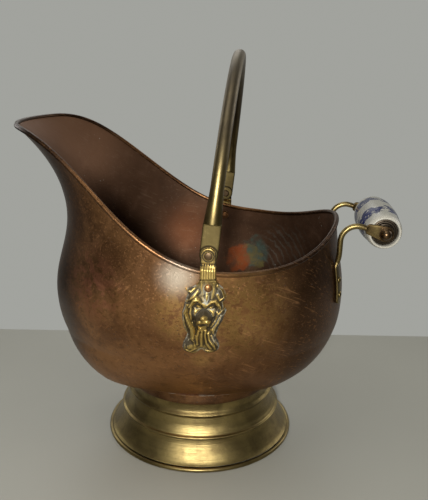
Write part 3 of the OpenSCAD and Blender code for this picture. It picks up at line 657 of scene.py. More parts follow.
def arm_rows():
    """The arm's path as rows: centre, outward direction, half thickness, half width, roundness."""
    rows = []
    foot_widths = ((0, 0.20), (0.02, 0.55), (0.06, 0.88), (0.12, 1), (0.3, 1), (0.5, 1), (0.7, 1),
                   (0.86, 0.98), (0.97, 0.88))
    for share, width in foot_widths:
        z = ARM_FOOT_Z0 + (ARM_FOOT_Z1 - ARM_FOOT_Z0) * share
        a = arm_bearing(z)
        n = bowl_normal(np.array([a]), np.array([z]))[0]
        c = bowl_point(a, z) + n * (SEAT_GAP + ARM_FLAT_T / 2)
        rows.append([*c, *n, ARM_FLAT_T / 2, 4.5 * width, 0.5])
    foot_x = float(bowl_point(arm_bearing(ARM_FOOT_Z1), ARM_FOOT_Z1)[0]) + 1.4
    bend_z = ARM_TOP_Z - ARM_BEND_R
    for k in range(1, 5):
        share = k / 4
        z = ARM_FOOT_Z1 + 3 + (bend_z - ARM_FOOT_Z1 - 3) * (k - 1) / 3
        turn = math.radians(17 + 73 * float(ease(share)))
        y = ARM_FOOT_Y + (ARM_Y - ARM_FOOT_Y) * float(ease(share))
        x = (foot_x + ARM_X) / 2 if k == 1 else ARM_X
        thick, wide, power = (0.85, 1.15, 0.85) if k == 1 else (1, 1, 1)
        rows.append([x, -y, z, math.cos(turn), -math.sin(turn), 0, ARM_R * thick, ARM_R * wide, power])
    centre = (ARM_X + ARM_BEND_R, bend_z)
    to_eye = (GRIP_X - centre[0], GRIP_Z - centre[1])
    bend_end = math.atan2(to_eye[1], to_eye[0]) + math.acos(ARM_BEND_R / math.hypot(*to_eye))
    for k in range(1, 9):
        w = math.pi + (bend_end - math.pi) * k / 8
        rows.append([centre[0] + ARM_BEND_R * math.cos(w), -ARM_Y, centre[1] + ARM_BEND_R * math.sin(w),
                     0, -1, 0, ARM_R, ARM_R, 1])
    start = np.array(rows[-1][:3])
    ahead = np.array([math.sin(bend_end), 0, -math.cos(bend_end)])
    reach = float(np.linalg.norm(np.array([GRIP_X, -ARM_Y, GRIP_Z]) - start))
    eye_r = 6.9
    ends = [(math.sin(t) * eye_r / reach, math.cos(t)) for t in (0.3, 0.6, 0.9, 1.15, 1.35, 1.5)]
    paddle = [(0.10, 1, 1, 1), (0.17, 1, 1.02, 0.95), (0.20, 0.72, 1.5, 0.62), (0.28, 0.56, 1.85, 0.5),
              (0.45, 0.52, 2.1, 0.5), (0.62, 0.52, 2.4, 0.5), (0.8, 0.52, 2.62, 0.5), (1.0, 0.52, 2.76, 0.5)]
    for share, thick, wide, power in paddle:
        rows.append([*(start + ahead * reach * share), 0, -1, 0, ARM_R * thick, ARM_R * wide, power])
    for extra, wide in ends:
        rows.append([*(start + ahead * reach * (1 + extra)), 0, -1, 0, ARM_R * 0.52, eye_r * wide, 0.5])
    return rows


def arm_skin(u, v):
    rows = arm_rows()
    here = catmull(rows, v)
    step = 0.002
    ahead = unit(catmull(rows, v + step)[:, :3] - catmull(rows, v - step)[:, :3])
    n = here[:, 3:6]
    m = unit(n - ahead * np.sum(n * ahead, -1, keepdims=True))
    side = np.cross(ahead, m)
    w = 2 * np.pi * u
    power = here[:, 8]
    return (here[:, :3] + m * (here[:, 6] * signed_power(np.cos(w), power))[:, None]
            + side * (here[:, 7] * signed_power(np.sin(w), power))[:, None])


# ---------- profiles of turned pieces ----------


def foot_profile():
    """Section of the spun foot: neck, groove, convex band, bead and flared skirt, then back up inside."""
    groove, bead = 43.2, 26.4
    neck = [(NECK_R, SEAT_Z), (NECK_R, SEAT_Z - COLLAR_H + 1)]
    top = rounded([
        (NECK_R, SEAT_Z - COLLAR_H), (NECK_R - 0.7, SEAT_Z - COLLAR_H - 3.5), (NECK_R - 0.4, groove + 6.6),
        (NECK_R + 1.6, groove + 3.8), (NECK_R + 2.2, groove + 2.6), (NECK_R + 0.7, groove + 0.4)], 4)
    middle = rounded([
        (NECK_R + 0.6, groove), (NECK_R + 1.3, groove - 3.2), (NECK_R + 2.3, groove - 7.4),
        (NECK_R + 4.3, bead + 5), (NECK_R + 5.6, bead + 3.0), (NECK_R + 6.2, bead + 1.9)], 4)
    ridge = rounded([
        (NECK_R + 6.9, bead + 1.5), (NECK_R + 8.2, bead + 0.9), (NECK_R + 8.5, bead - 0.2),
        (NECK_R + 8.0, bead - 1.3), (NECK_R + 7.1, bead - 2)], 3)
    skirt = rounded([
        (NECK_R + 7.1, bead - 2.2), (NECK_R + 8.4, bead - 6.4), (FOOT_R - 10, bead - 13),
        (FOOT_R - 6, ROLL_H + 3), (FOOT_R - 3.2, ROLL_H + 0.2)], 6)
    outer = neck + top + middle + ridge + skirt
    wall = 1.3
    inner = [(r - wall, h - 0.1) for r, h in reversed(outer[2:])]
    lip = NECK_R - 12
    return outer + inner + [(NECK_R - wall, SEAT_Z - wall), (lip, SEAT_Z - wall), (lip, SEAT_Z)]


def roll_profile():
    """Wired edge of the foot, worn flat where it stands."""
    r = ROLL_H / 2
    ring = [(FOOT_R - r + r * math.cos(math.radians(a)), r - 0.25 + r * math.sin(math.radians(a)))
            for a in range(0, 360, 15)]
    return [(x, max(0.0, z)) for x, z in ring]


def collar_profile():
    """Strip of the copper collar, a little hollow between its edges."""
    low = SEAT_Z - COLLAR_H
    inner = NECK_R + 0.05
    return [(inner, low), (SEAT_R - 0.35, low), (SEAT_R - 0.05, low + 0.3), (SEAT_R - 0.12, low + 3.5),
            (SEAT_R - 0.05, low + 7), (SEAT_R - 0.1, SEAT_Z - 0.35), (SEAT_R - 0.4, SEAT_Z), (inner, SEAT_Z)]


def solder_profile():
    """Fillet of solder under the bowl, above the collar."""
    face = rounded([(SEAT_R - 0.1, SEAT_Z - SOLDER_W), (SEAT_R + 0.35, SEAT_Z - 1.9),
                    (SEAT_R + 0.9, SEAT_Z - 0.95), (SEAT_R + 1.9, SEAT_Z - 0.3),
                    (SEAT_R + 2.1, SEAT_Z - 0.05)], 3)
    return face + [(SEAT_R - 0.1, SEAT_Z - 0.05)]


def rivet_profile(head_r, head_h, shank_r, shank, tail_r, tail_h):
    """A rivet along its axis: hammered head above 0, shank and closed tail below."""
    dome = [(head_r * math.cos(math.radians(a)), head_h * math.sin(math.radians(a)) ** 0.9)
            for a in (4, 14, 26, 40, 54, 68, 80)]
    brim = [(shank_r, 0.0), (head_r - 0.15, 0.0), (head_r, 0.08)]
    tail = [(0.001, -shank - tail_h), (tail_r * 0.7, -shank - tail_h), (tail_r, -shank), (shank_r, -shank)]
    return tail + brim + dome + [(0.001, head_h)]


def grip_profile():
    """Porcelain barrel, fullest off its middle, with a collar, a round lip and a hollow at each end."""
    half, end_r, swell_r, cup_r, cup_floor, bore = 40.2, 14.1, 18.5, 12.0, 34.2, 2.85
    fullest = -9.0  # place of the largest radius along the axis; rows are shares along and of the swell
    near = [(0, 1.0), (0.12, 0.99), (0.26, 0.945), (0.38, 0.86), (0.48, 0.74), (0.56, 0.60),
            (0.60, 0.47), (0.625, 0.45), (0.66, 0.50), (0.72, 0.51), (0.82, 0.43), (0.90, 0.28), (0.95, 0.12)]
    far = [(0, 1.0), (0.20, 0.99), (0.38, 0.96), (0.52, 0.88), (0.64, 0.76), (0.72, 0.62), (0.745, 0.60),
           (0.77, 0.64), (0.83, 0.60), (0.90, 0.40), (0.95, 0.16)]
    sides = []
    for sign, shares in ((1, near), (-1, far)):
        reach = half - sign * fullest
        barrel = [(end_r + (swell_r - end_r) * b, fullest * sign + reach * a) for a, b in shares]
        lip = [(end_r, half - 0.9), (end_r - 0.35, half - 0.25), (end_r - 0.9, half),
               (cup_r + 0.5, half - 0.1), (cup_r + 0.1, half - 0.6)]
        side = rounded(barrel + [(end_r, half - 1.4)], 4) + lip
        sides.append(side + [(cup_r, half - 1.2), (cup_r, cup_floor), (bore, cup_floor)])
    return sides[0] + [(r, -h) for r, h in reversed(sides[1][1:])]


def cap_profile():
    """Stepped brass cap in the grip's hollow, with fine turned steps."""
    base, inner, bore = 34.5, 42.35, 2.55
    r = 11.8
    low = [(r, base), (r, base + 0.9), (r - 0.5, base + 1.3), (r - 1.9, base + 1.5), (r - 2.4, base + 2.1)]
    high = [(r - 3.3, base + 2.2), (r - 3.9, base + 3.2), (r - 5.1, base + 3.7), (r - 5.4, base + 4.3)]
    top = [(5.3, base + 4.8), (4.8, base + 5.2), (4.4, inner), (bore, inner)]
    return [(bore, base)] + rounded(low, 3) + rounded(high, 3) + top


def nut_profile():
    """Domed nut with a thin flange, 0 where it meets the arm."""
    r, height, bore, deep = 4.7, 5.2, 2.55, 3.2
    dome = [(r * math.cos(math.radians(a)), height - r + r * math.sin(math.radians(a)))
            for a in range(8, 90, 8)]
    flange = [(bore, 0.0), (5.8, 0.0), (6.0, 0.2), (6.0, 0.55), (5.7, 0.8), (r + 0.5, 1.15)]
    return [(0.001, deep), (bore, deep)] + flange + [p for p in dome if p[1] > 1.2] + [(0.001, height)]


# ---------- shader maths ----------


def dimmed(colour, share):
    """A colour times a share, at most white."""
    return tuple(min(1, part * share) for part in colour)


class Socket:
    """An output of a node, with the arithmetic that finishes are written in."""

    def __init__(self, paint, socket):
        self.paint = paint
        self.socket = socket

    def maths(self, operation, *values):
        return self.paint.node("ShaderNodeMath", {"operation": operation}, dict(enumerate(values)))

    def __add__(self, other):
        return self.maths("ADD", self, other)

    def __sub__(self, other):
        return self.maths("SUBTRACT", self, other)

    def __rsub__(self, other):
        return self.maths("SUBTRACT", other, self)

    def __mul__(self, other):
        return self.maths("MULTIPLY", self, other)

    def __truediv__(self, other):
        return self.maths("DIVIDE", self, other)

    def __rtruediv__(self, other):
        return self.maths("DIVIDE", other, self)

    def __pow__(self, other):
        return self.maths("POWER", self, other)

    def __abs__(self):
        return self.maths("ABSOLUTE", self)

    __radd__ = __add__
    __rmul__ = __mul__

    def sin(self):
        return self.maths("SINE", self)

    def cos(self):
        return self.maths("COSINE", self)

    def fraction(self):
        return self.maths("FRACT", self)

    def least(self, other):
        return self.maths("MINIMUM", self, other)

    def most(self, other):
        return self.maths("MAXIMUM", self, other)

    def between(self, low, high):
        """0 at low, 1 at high, smooth between; low may be above high."""
        if low > high:
            return 1 - self.between(high, low)
        return self.paint.node("ShaderNodeMapRange", {"interpolation_type": "SMOOTHSTEP"},
                               {"Value": self, "From Min": low, "From Max": high})


class Paint:
    """The node tree of one finish; here is the place on the piece that it colours."""

    def __init__(self, name, tree=None, place="Object"):
        if tree is None:
            self.material = bpy.data.materials.new(name)
            self.material.use_nodes = True
            tree = self.material.node_tree
        self.tree = tree
        self.tree.nodes.clear()
        self.here = self.node("ShaderNodeTexCoord", output=place)

    def node(self, kind, settings=None, values=None, output=0):
        """Add a node: its settings first, then the values or links of its sockets."""
        node = self.tree.nodes.new(kind)
        for key, value in (settings or {}).items():
            setattr(node, key, value)
        for key, value in (values or {}).items():
            if isinstance(value, Socket):
                self.tree.links.new(value.socket, node.inputs[key])
            elif not isinstance(value, (int, float)) and len(node.inputs[key].default_value) == 4:
                node.inputs[key].default_value = (*value[:3], 1)
            else:
                node.inputs[key].default_value = value
        return Socket(self, node.outputs[output]) if node.outputs else None

    def placed(self, centre=(0, 0, 0), turn=(0, 0, 0), size=(1, 1, 1)):
        """Object coordinates moved to a centre in mm, turned by degrees and divided by a size."""
        return self.node("ShaderNodeMapping", {"vector_type": "TEXTURE"}, {
            "Vector": self.here, "Location": tuple(c * MM for c in centre),
            "Rotation": tuple(math.radians(t) for t in turn), "Scale": size})

    def split(self, of=None):
        parts = self.node("ShaderNodeSeparateXYZ", None, {"Vector": of or self.here})
        return [Socket(self, out) for out in parts.socket.node.outputs]

    def joined(self, x, y, z):
        return self.node("ShaderNodeCombineXYZ", None, {0: x, 1: y, 2: z})

    def noise(self, scale, detail=3, rough=0.5, bent=0.0, of=None):
        return self.node("ShaderNodeTexNoise", None, {
            "Vector": of or self.here, "Scale": scale, "Detail": detail, "Roughness": rough,
            "Distortion": bent})

    def cells(self, scale):
        return self.node("ShaderNodeTexVoronoi", None, {"Vector": self.here, "Scale": scale}, "Distance")

    def specks(self, scale, reach, patch_scale, patch):
        """Small round spots, only where a coarser noise lets them be."""
        return self.cells(scale).between(*reach) * self.noise(patch_scale, 1).between(*patch)

    def mix(self, amount, first, second):
        return self.node("ShaderNodeMix", {"data_type": "RGBA"}, {0: amount, 6: first, 7: second}, 2)

    def layered(self, tone, *layers):
        """Lay colours over a tone in turn, each by its own amount."""
        for amount, colour in layers:
            tone = self.mix(amount, tone, colour)
        return tone

    def near(self, centre, reach, soft=1.0, of=None):
        """1 close to a point in mm and 0 beyond a reach in mm."""
        apart = self.node("ShaderNodeVectorMath", {"operation": "DISTANCE"},
                          {0: of or self.here, 1: tuple(c * MM for c in centre)}, "Value")
        return apart.between(reach * MM, reach * (1 - soft) * MM)

    def surface(self, colour, roughness, metallic, height, strength=0.4, depth=0.4, specular=0.5):
        """Close the tree with the surface shader; depth is the height's depth in mm."""
        bump = self.node("ShaderNodeBump", None, {
            "Height": height, "Strength": strength, "Distance": depth * MM})
        shader = self.node("ShaderNodeBsdfPrincipled", None, {
            "Base Color": colour, "Roughness": roughness, "Metallic": metallic, "Normal": bump,
            "Specular IOR Level": specular})
        self.node("ShaderNodeOutputMaterial", None, {"Surface": shader})
        return self.material


# ---------- finishes ----------


def marks(paint, low, high):
    """Fine rubbing scratches in three directions, 0 to 1."""
    one, two, three = (
        paint.noise(scale, 2, 0.55, of=paint.placed(turn=turn, size=(1 / thin, 1, 1))).between(start, end)
        for scale, turn, thin, start, end in (
            (700, (10, 25, 35), 0.03, low, high),
            (560, (-30, -40, -28), 0.035, low + 0.02, high),
            (900, (70, 8, 5), 0.02, low + 0.03, high + 0.02)))
    patch = paint.noise(22, 2).between(0.38, 0.62)
    return one.most(two * patch).most(three * (1 - patch))


def make_copper(look, name, shade=1.0):
    """Brown, handled copper sheet: drifting tone, mottled tarnish, rubbing scratches and small pits, with
    painted shade on the flanks and the right side and painted highlights on the near side.
    """
    paint = Paint(name)
    x = paint.split()[0]
    fresh = dimmed(look.copper, shade)
    brown = dimmed(look.copper_brown, shade)
    cloud = paint.noise(11, 4, 0.55, 1.0)
    mottle = paint.noise(95, 6, 0.72, 0.4)
    patchy = paint.noise(26, 6, 0.72, 0.6)
    grain = paint.noise(520, 3, 0.6)
    tarnish = mottle * 0.4 + paint.noise(230, 5, 0.75, 0.3) * 0.6
    scratch = marks(paint, 0.58, 0.70)
    pits = paint.specks(240, (0.20, 0.08), 60, (0.50, 0.60))
    # painted shade: the flanks at both ends of the bowl are painted dark brown where the light falls away
    ends = abs(x + 12 * MM).between(70 * MM, 104 * MM)
    # painted shade: the right side of the bowl is painted darker
    right = x.between(30 * MM, 70 * MM)
    rubbed = paint.near((40, -115, 165), 62, 0.9).most(paint.near((3, -125, 165), 40, 0.6))
    # golden rubbed wear near the mask, and under the mask a painted highlight where the light is reflected
    gold_wear_and_highlight = (rubbed * tarnish.between(0.43, 0.56)).most(paint.near((10, -108, 119), 13) * 0.8)
    red = paint.near((-80, -100, 180), 45, 0.9) * mottle.between(0.55, 0.45)
    # painted highlight: a pale sheen below the rim on the near side
    painted_highlight = paint.near((-8, -124, 198), 27) ** 1.7
    tone = paint.layered(
        paint.mix(cloud.between(0.40, 0.62), fresh, brown),
        (patchy.between(0.44, 0.70) * 0.30, dimmed(brown, 0.55)),
        (ends * 0.9, dimmed(brown, 0.16)),
        (right * 0.45, dimmed(brown, 0.55)),
        (gold_wear_and_highlight * 0.75, dimmed((0.46, 0.27, 0.085), shade)),
        (red * 0.55, dimmed((0.46, 0.17, 0.10), shade)),
        (tarnish.between(0.49, 0.62) * 0.45, dimmed(brown, 0.4)),
        (scratch * 0.28, dimmed(fresh, 1.7)),
        (pits * 0.75, (0.03, 0.018, 0.012)),
        (painted_highlight * 0.8, dimmed((0.95, 0.80, 0.62), shade)))
    rough = 0.26 + patchy * 0.10 + mottle * 0.12 + grain * 0.07 + scratch * 0.12 - painted_highlight * 0.06
    metal = 0.97 - patchy.between(0.44, 0.70) * 0.18 - pits * 0.5
    lumps = (paint.noise(17, 2) * 1.6 + mottle * 0.18 + patchy * 0.15 + grain * 0.06 + scratch * 0.10
             - pits * 0.35)
    return paint.surface(tone, rough, metal.most(0), lumps, 0.4, 0.9)


def make_copper_inside(look):
    """The bowl's hollow: dark coal-stained copper with rust-red, green and worn patches."""
    paint = Paint("stained_copper")
    x, _, z = paint.split()
    mottle = paint.noise(55, 5, 0.65, 0.6)
    grain = paint.noise(480, 3, 0.6)
    scratch = marks(paint, 0.6, 0.72)
    fleck = paint.specks(190, (0.10, 0.05), 35, (0.55, 0.65))
    spout = x.between(-70 * MM, -120 * MM) * z.between(200 * MM, 250 * MM)
    rings = paint.node("ShaderNodeTexWave", {"wave_type": "RINGS", "rings_direction": "SPHERICAL"}, {
        "Vector": paint.placed((46, 100, 128), (20, 35, 25)), "Scale": 46, "Distortion": 5, "Detail": 3,
        "Detail Scale": 2, "Detail Roughness": 0.6})
    worn = paint.near((84, 90, 160), 46, 0.7) * rings.between(0.55, 0.95) * mottle.between(0.36, 0.55)
    drift = paint.joined((mottle - 0.5) * 20 * MM, 0, (paint.noise(38, 3, 0.6) - 0.5) * 34 * MM)
    bent = paint.node("ShaderNodeVectorMath", {"operation": "ADD"}, {0: paint.here, 1: drift})
    warm = paint.near((-28, 121, 172), 42, 0.9)
    green = paint.near((49, 104, 152), 19, 0.25, bent) * mottle.between(0.30, 0.62)
    halo = paint.near((44, 106, 143), 17, 0.12, bent) * mottle.between(0.60, 0.30)
    red = paint.near((32, 111, 138), 17, 0.22, bent).most(paint.near((31, 112, 149), 13, 0.3, bent))
    cloud = paint.noise(11, 4, 0.55, 1.0).between(0.35, 0.65)
    tone = paint.layered(
        paint.mix(cloud, look.copper_inside, dimmed(look.copper_inside, 0.6)),
        (spout * 0.6, dimmed(look.copper_inside, 2.0)),
        (worn * 0.5, (0.15, 0.13, 0.10)),
        (warm * (0.35 + mottle * 0.5), (0.15, 0.050, 0.018)),
        (green * 0.8, (0.060, 0.105, 0.085)),
        (halo * 0.8, (0.16, 0.135, 0.045)),
        (red * mottle.between(0.25, 0.60), (0.21, 0.052, 0.014)),
        (scratch * 0.3, (0.20, 0.13, 0.08)),
        (fleck * 0.9, (0.55, 0.52, 0.45)))
    rough = 0.46 + mottle * 0.26 + grain * 0.06 - worn * 0.08 + fleck * 0.3
    metal = 0.90 - mottle.between(0.5, 0.8) * 0.2 - fleck * 0.8
    lumps = paint.noise(24, 2) * 0.8 + mottle * 0.25 + grain * 0.06 + scratch * 0.06 + fleck * 0.4
    return paint.surface(tone, rough, metal.most(0), lumps, 0.4, 0.9)


def from_axis(x, z, axis_x, axis_z):
    """Distance from a level axis across the scuttle, its place given in mm."""
    return ((x - axis_x * MM) ** 2 + (z - axis_z * MM) ** 2) ** 0.5


def make_brass(name, bright, dark, rough, lathe=False, brushed=None, ring=None, dull_from=None,
               eye_tone=None):
    """Aged brass: yellow where it is rubbed, brown where it isn't.

    lathe adds turned lines, brushed lines that are finer along a large number, ring the painted shadow and
    grime round the pivot (four radii in mm), dull_from the height in mm from which the rod is rougher and
    painted darker as shade, and eye_tone the colour near the grip.
    """
    paint = Paint(name)
    x, y, z = paint.split()
    cloud = paint.noise(28, 4, 0.55, 0.6)
    mottle = paint.noise(150, 4, 0.6, 0.3)
    grain = paint.noise(900, 3, 0.6)
    scratch = marks(paint, 0.63, 0.75)
    pits = paint.specks(420, (0.14, 0.05), 90, (0.55, 0.62))
    tone = paint.layered(
        paint.mix(cloud.between(0.36, 0.64) * 0.7 + mottle.between(0.45, 0.8) * 0.4, bright, dark),
        (scratch * 0.125, dimmed(bright, 1.5)), (pits * 0.6, (0.03, 0.025, 0.015)))
    lumps = paint.noise(60, 2) * 0.5 + mottle * 0.12 + grain * 0.06 + scratch * 0.06 - pits * 0.3
    gloss = rough + mottle * 0.14 + grain * 0.05 + scratch * 0.07
    if lathe:
        lines = paint.noise(1, 4, 0.75, of=paint.joined(x * 9, y * 9, z * 1500))
        broad = paint.noise(1, 2, 0.5, of=paint.joined(x * 4, y * 4, z * 260))
        tone = paint.layered(tone, (lines.between(0.56, 0.72) * 0.4, dark),
                             (broad.between(0.5, 0.7) * 0.3, dark))
        lumps = lumps * 0.2 + lines * 1.1
        gloss = gloss + lines * 0.08
    if brushed:
        along = paint.joined(*(part * many for part, many in zip((x, y, z), brushed)))
        lines = paint.noise(1, 3, 0.6, of=along)
        tone = paint.mix(lines.between(0.5, 0.72) * 0.35, tone, dark)
        lumps = lumps + lines * 0.22
        gloss = gloss + lines * 0.1
    if ring:
        # painted shadow together with grime: a dark ring round the pivot, where the strap's top stands over
        # the bail's flat
        apart = from_axis(x, z, PIVOT_X, PIVOT_Z)
        shadow_and_grime = apart.between(ring[0] * MM, ring[1] * MM) * apart.between(ring[3] * MM, ring[2] * MM)
        tone = paint.mix(shadow_and_grime * 0.9, tone, (0.02, 0.014, 0.008))
        gloss = gloss + shadow_and_grime * 0.2
    if dull_from:
        # painted shade: above this height the rod is painted darker, and it is also rougher
        dull_and_shade = z.between(dull_from * MM, (dull_from + 70) * MM)
        tone = paint.mix(dull_and_shade * 0.75, tone, (0.10, 0.082, 0.06))
        gloss = gloss + dull_and_shade * 0.08
    if eye_tone:
        eye = from_axis(x, z, GRIP_X, GRIP_Z).between(24 * MM, 17 * MM) * cloud.between(0.30, 0.55)
        tone = paint.mix(eye * 0.85, tone, eye_tone)
    metal = 1 - mottle.between(0.6, 0.85) * 0.2 - pits * 0.5
    return paint.surface(tone, gloss, metal, lumps, 0.35, 0.6)


def make_cast_brass(look):
    """The mask: bright on its high places, dark in its hollows, with pale polish left in the recesses; the
    bright and the dark are rubbing and patina together with painted highlight and painted shade.
    """
    paint = Paint("lion_brass")
    high, outer, plane = (paint.node("ShaderNodeAttribute", {"attribute_name": name}, output="Fac")
                          for name in ("rise", "margin", "chalk"))
    mottle = paint.noise(260, 4, 0.6, 0.4)
    grain = paint.noise(1200, 3, 0.65)
    residue = paint.noise(420, 4, 0.65)
    high = high + (grain - 0.5) * 0.16 + (mottle - 0.5) * 0.30 + (residue - 0.5) * 0.24
    # hollow: patina in the recesses together with painted shade; crest: rubbed brass together with painted
    # highlight
    hollow = high.between(0.47, 0.26)
    crest = high.between(0.54, 0.74)
    chalk = (plane * residue.between(0.30, 0.48)).most(outer * residue.between(0.34, 0.48)) * (1 - crest)
    tone = paint.layered(
        paint.mix(mottle.between(0.35, 0.65), look.brass_cast, dimmed(look.brass_cast, 0.45)),
        (chalk * 0.85, (0.36, 0.36, 0.30)), (hollow * 0.95, (0.032, 0.022, 0.009)),
        (crest * 0.75, (0.66, 0.47, 0.15)))
    rough = 0.36 + mottle * 0.14 + grain * 0.08 + hollow * 0.2 + chalk * 0.3
    metal = 0.95 - chalk * 0.75 - hollow * 0.35
    lumps = mottle * 0.35 + grain * 0.18 + residue * 0.2
    return paint.surface(tone, rough, metal.most(0), lumps, 0.4, 0.5)


def make_solder(look):
    """Dull grey solder, pitted and ragged, browned in places by the copper."""
    paint = Paint("old_solder")
    patch = paint.noise(90, 4, 0.65, 0.5)
    grain = paint.noise(700, 3, 0.6)
    tone = paint.layered(paint.mix(patch.between(0.42, 0.62), look.solder, look.copper_brown),
                         (grain.between(0.55, 0.7) * 0.3, (0.08, 0.07, 0.05)))
    rough = 0.45 + patch * 0.2 + grain * 0.1
    return paint.surface(tone, rough, 0.9 - patch * 0.3, patch * 0.6 + grain * 0.3, 0.5, 0.5)


def flower(x, y, cx, cy, r, turn):
    """A small open flower of five petals at cx, cy, with a pale eye, 0 to 1."""
    dx = x - cx
    dy = y - cy
    far = (dx * dx + dy * dy) ** 0.5
    wave = abs((dy.maths("ARCTAN2", dy, dx) * (PETALS / 2) + turn).cos())
    body = (wave * (0.42 * r) + 0.58 * r - far).between(-0.25, 0.25)
    eye = far.between(0.34 * r, 0.22 * r)
    vein = wave.between(0.28, 0.08) * far.between(0.2 * r, 0.5 * r)
    return body * (1 - eye * 0.75) * (1 - vein * 0.4)


def leaf(x, y, cx, cy, turn, length, width):
    """A pointed leaf centred at cx, cy, turned by degrees."""
    c, s = math.cos(math.radians(turn)), math.sin(math.radians(turn))
    along = ((x - cx) * c + (y - cy) * s) / length
    across = abs(((y - cy) * c - (x - cx) * s) / width)
    return (1 - along * along - across).between(-0.12, 0.22) * (1 - across.between(0.16, 0.05) * 0.45)


# The painted band: it repeats round the grip on both halves; lengths in mm before they are stretched
GRIP_MIDDLE_R = 18.0
GARLANDS = 2
GARLAND_LENGTH = 1.75
GARLAND_WIDTH = 1.3
GARLAND_TURN = 0.54
GARLAND_Y = 16.5
PETALS = 5
FLOWERS = ((0.0, 0.0, 6.2, 0.4), (-9.2, 1.6, 4.6, 1.1), (9.4, -1.4, 4.8, 0.1))
LEAVES = (
    (-4.6, -4.8, 35, 3.6, 1.7), (4.8, 4.4, 40, 3.7, 1.7), (4.0, -5.8, -35, 3.3, 1.6),
    (-5.2, 5.4, -30, 3.4, 1.6), (-13.6, -2.2, 18, 3.4, 1.5), (-11.4, 6.0, 60, 2.8, 1.3),
    (12.6, 4.0, 35, 3.2, 1.5), (13.8, -4.6, -25, 3.2, 1.5), (-9.0, -4.8, -50, 2.8, 1.3),
    (0.2, 8.6, 10, 2.6, 1.1), (0.6, -8.8, 5, 2.6, 1.1),
)


def make_porcelain(look):
    """White glazed porcelain with a painted band of cobalt flowers and leaves round its middle."""
    paint = Paint("painted_porcelain")
    x, y, z = paint.split(paint.placed((GRIP_X, 0, GRIP_Z)))
    round_mm = z.maths("ARCTAN2", z, x) * GRIP_MIDDLE_R
    wobble = paint.noise(190, 3, 0.6)
    cell = 2 * math.pi * GRIP_MIDDLE_R / GARLANDS
    u = (((round_mm / cell + GARLAND_TURN).fraction() - 0.5) * cell + (wobble - 0.5) * 1.6) / GARLAND_LENGTH
    v = (abs(y * 1000) - GARLAND_Y + (wobble - 0.5) * 1.4) / GARLAND_WIDTH + (u * 0.16).sin()
    drawn = [flower(u, v, *row) for row in FLOWERS] + [leaf(u, v, *row) for row in LEAVES]
    blue = drawn[0]
    for part in drawn[1:]:
        blue = blue.most(part)
    stem = abs(v + (u * 0.42).sin() * 1.8).between(0.8, 0.35)
    band = abs(v).between(3.8, 2.8) * abs(u).between(15.5, 13.5)
    dabs = paint.cells(270).between(0.48, 0.36)
    blue = (blue.most(stem * 0.85).most(band * dabs) * 1.8).least(1)
    wash = paint.noise(420, 3, 0.6)
    blue = blue * (0.9 + wash * 0.25)
    soot = paint.specks(260, (0.08, 0.03), 50, (0.55, 0.62))
    ground = paint.layered(
        paint.mix(paint.noise(38).between(0.35, 0.7), look.porcelain, dimmed(look.porcelain, 0.86)),
        (abs(y * 1000).between(33, 40) * 0.4, (0.58, 0.54, 0.44)), (soot * 0.7, (0.12, 0.10, 0.08)))
    tone = paint.mix(blue.least(1), ground, look.cobalt)
    lumps = paint.noise(110, 2) * 0.5 + blue * 0.05
    return paint.surface(tone, 0.26 + wash * 0.12 + soot * 0.3, 0.0, lumps, 0.12, 0.4, specular=0.22)


# ---------- what a user may change ----------


def colour_property(name, description, value):
    return bpy.props.FloatVectorProperty(name=name, description=description, default=value, size=3, min=0,
                                         max=1, subtype="COLOR")


class ScuttleForm(bpy.types.PropertyGroup):
    """Sizes of the finer shapes."""

    sheet: bpy.props.FloatProperty(name="Copper sheet", description="Thickness of the bowl's sheet",
                                   default=WALL * MM, min=0.0008, max=0.0016, unit="LENGTH")
    bowl_columns: bpy.props.IntProperty(name="Bowl columns", description="Faces round the bowl", default=220,
                                        min=84, max=320)
    bowl_rows: bpy.props.IntProperty(name="Bowl rows", description="Faces from the floor to the rim",
                                     default=110, min=40, max=160)


class ScuttleLook(bpy.types.PropertyGroup):
    """Colours of the finishes."""

    copper: colour_property("Copper", "Copper where it is rubbed", (0.36, 0.175, 0.070))
    copper_brown: colour_property("Brown copper", "Copper where it has browned", (0.20, 0.092, 0.038))
    copper_inside: colour_property("Inside", "Copper inside the bowl", (0.100, 0.050, 0.026))
    brass: colour_property("Brass", "Spun brass of the foot", (0.50, 0.375, 0.145))
    brass_dark: colour_property("Dark brass", "Tarnished brass", (0.21, 0.15, 0.06))
    brass_cast: colour_property("Cast brass", "Brass of the lion masks", (0.46, 0.32, 0.10))
    solder: colour_property("Solder", "Old solder", (0.42, 0.38, 0.30))
    porcelain: colour_property("Porcelain", "White glaze", (0.33, 0.315, 0.265))
    cobalt: colour_property("Cobalt", "Painted blue", (0.004, 0.008, 0.055))


class ScuttleStage(bpy.types.PropertyGroup):
    """Floor, light and camera."""

    floor: colour_property("Floor", "Plain pale table", (0.30, 0.292, 0.247))
    wall: colour_property("Surroundings", "Plain pale surroundings", (0.36, 0.365, 0.34))
    key: bpy.props.FloatProperty(name="Light", description="Power from which each soft lamp takes its share",
                                 default=13.0, min=0, max=60, subtype="POWER")
    lens: bpy.props.FloatProperty(name="Lens", description="Focal length of the camera", default=47.25,
                                  min=20, max=120, subtype="DISTANCE_CAMERA")


# ---------- operators ----------


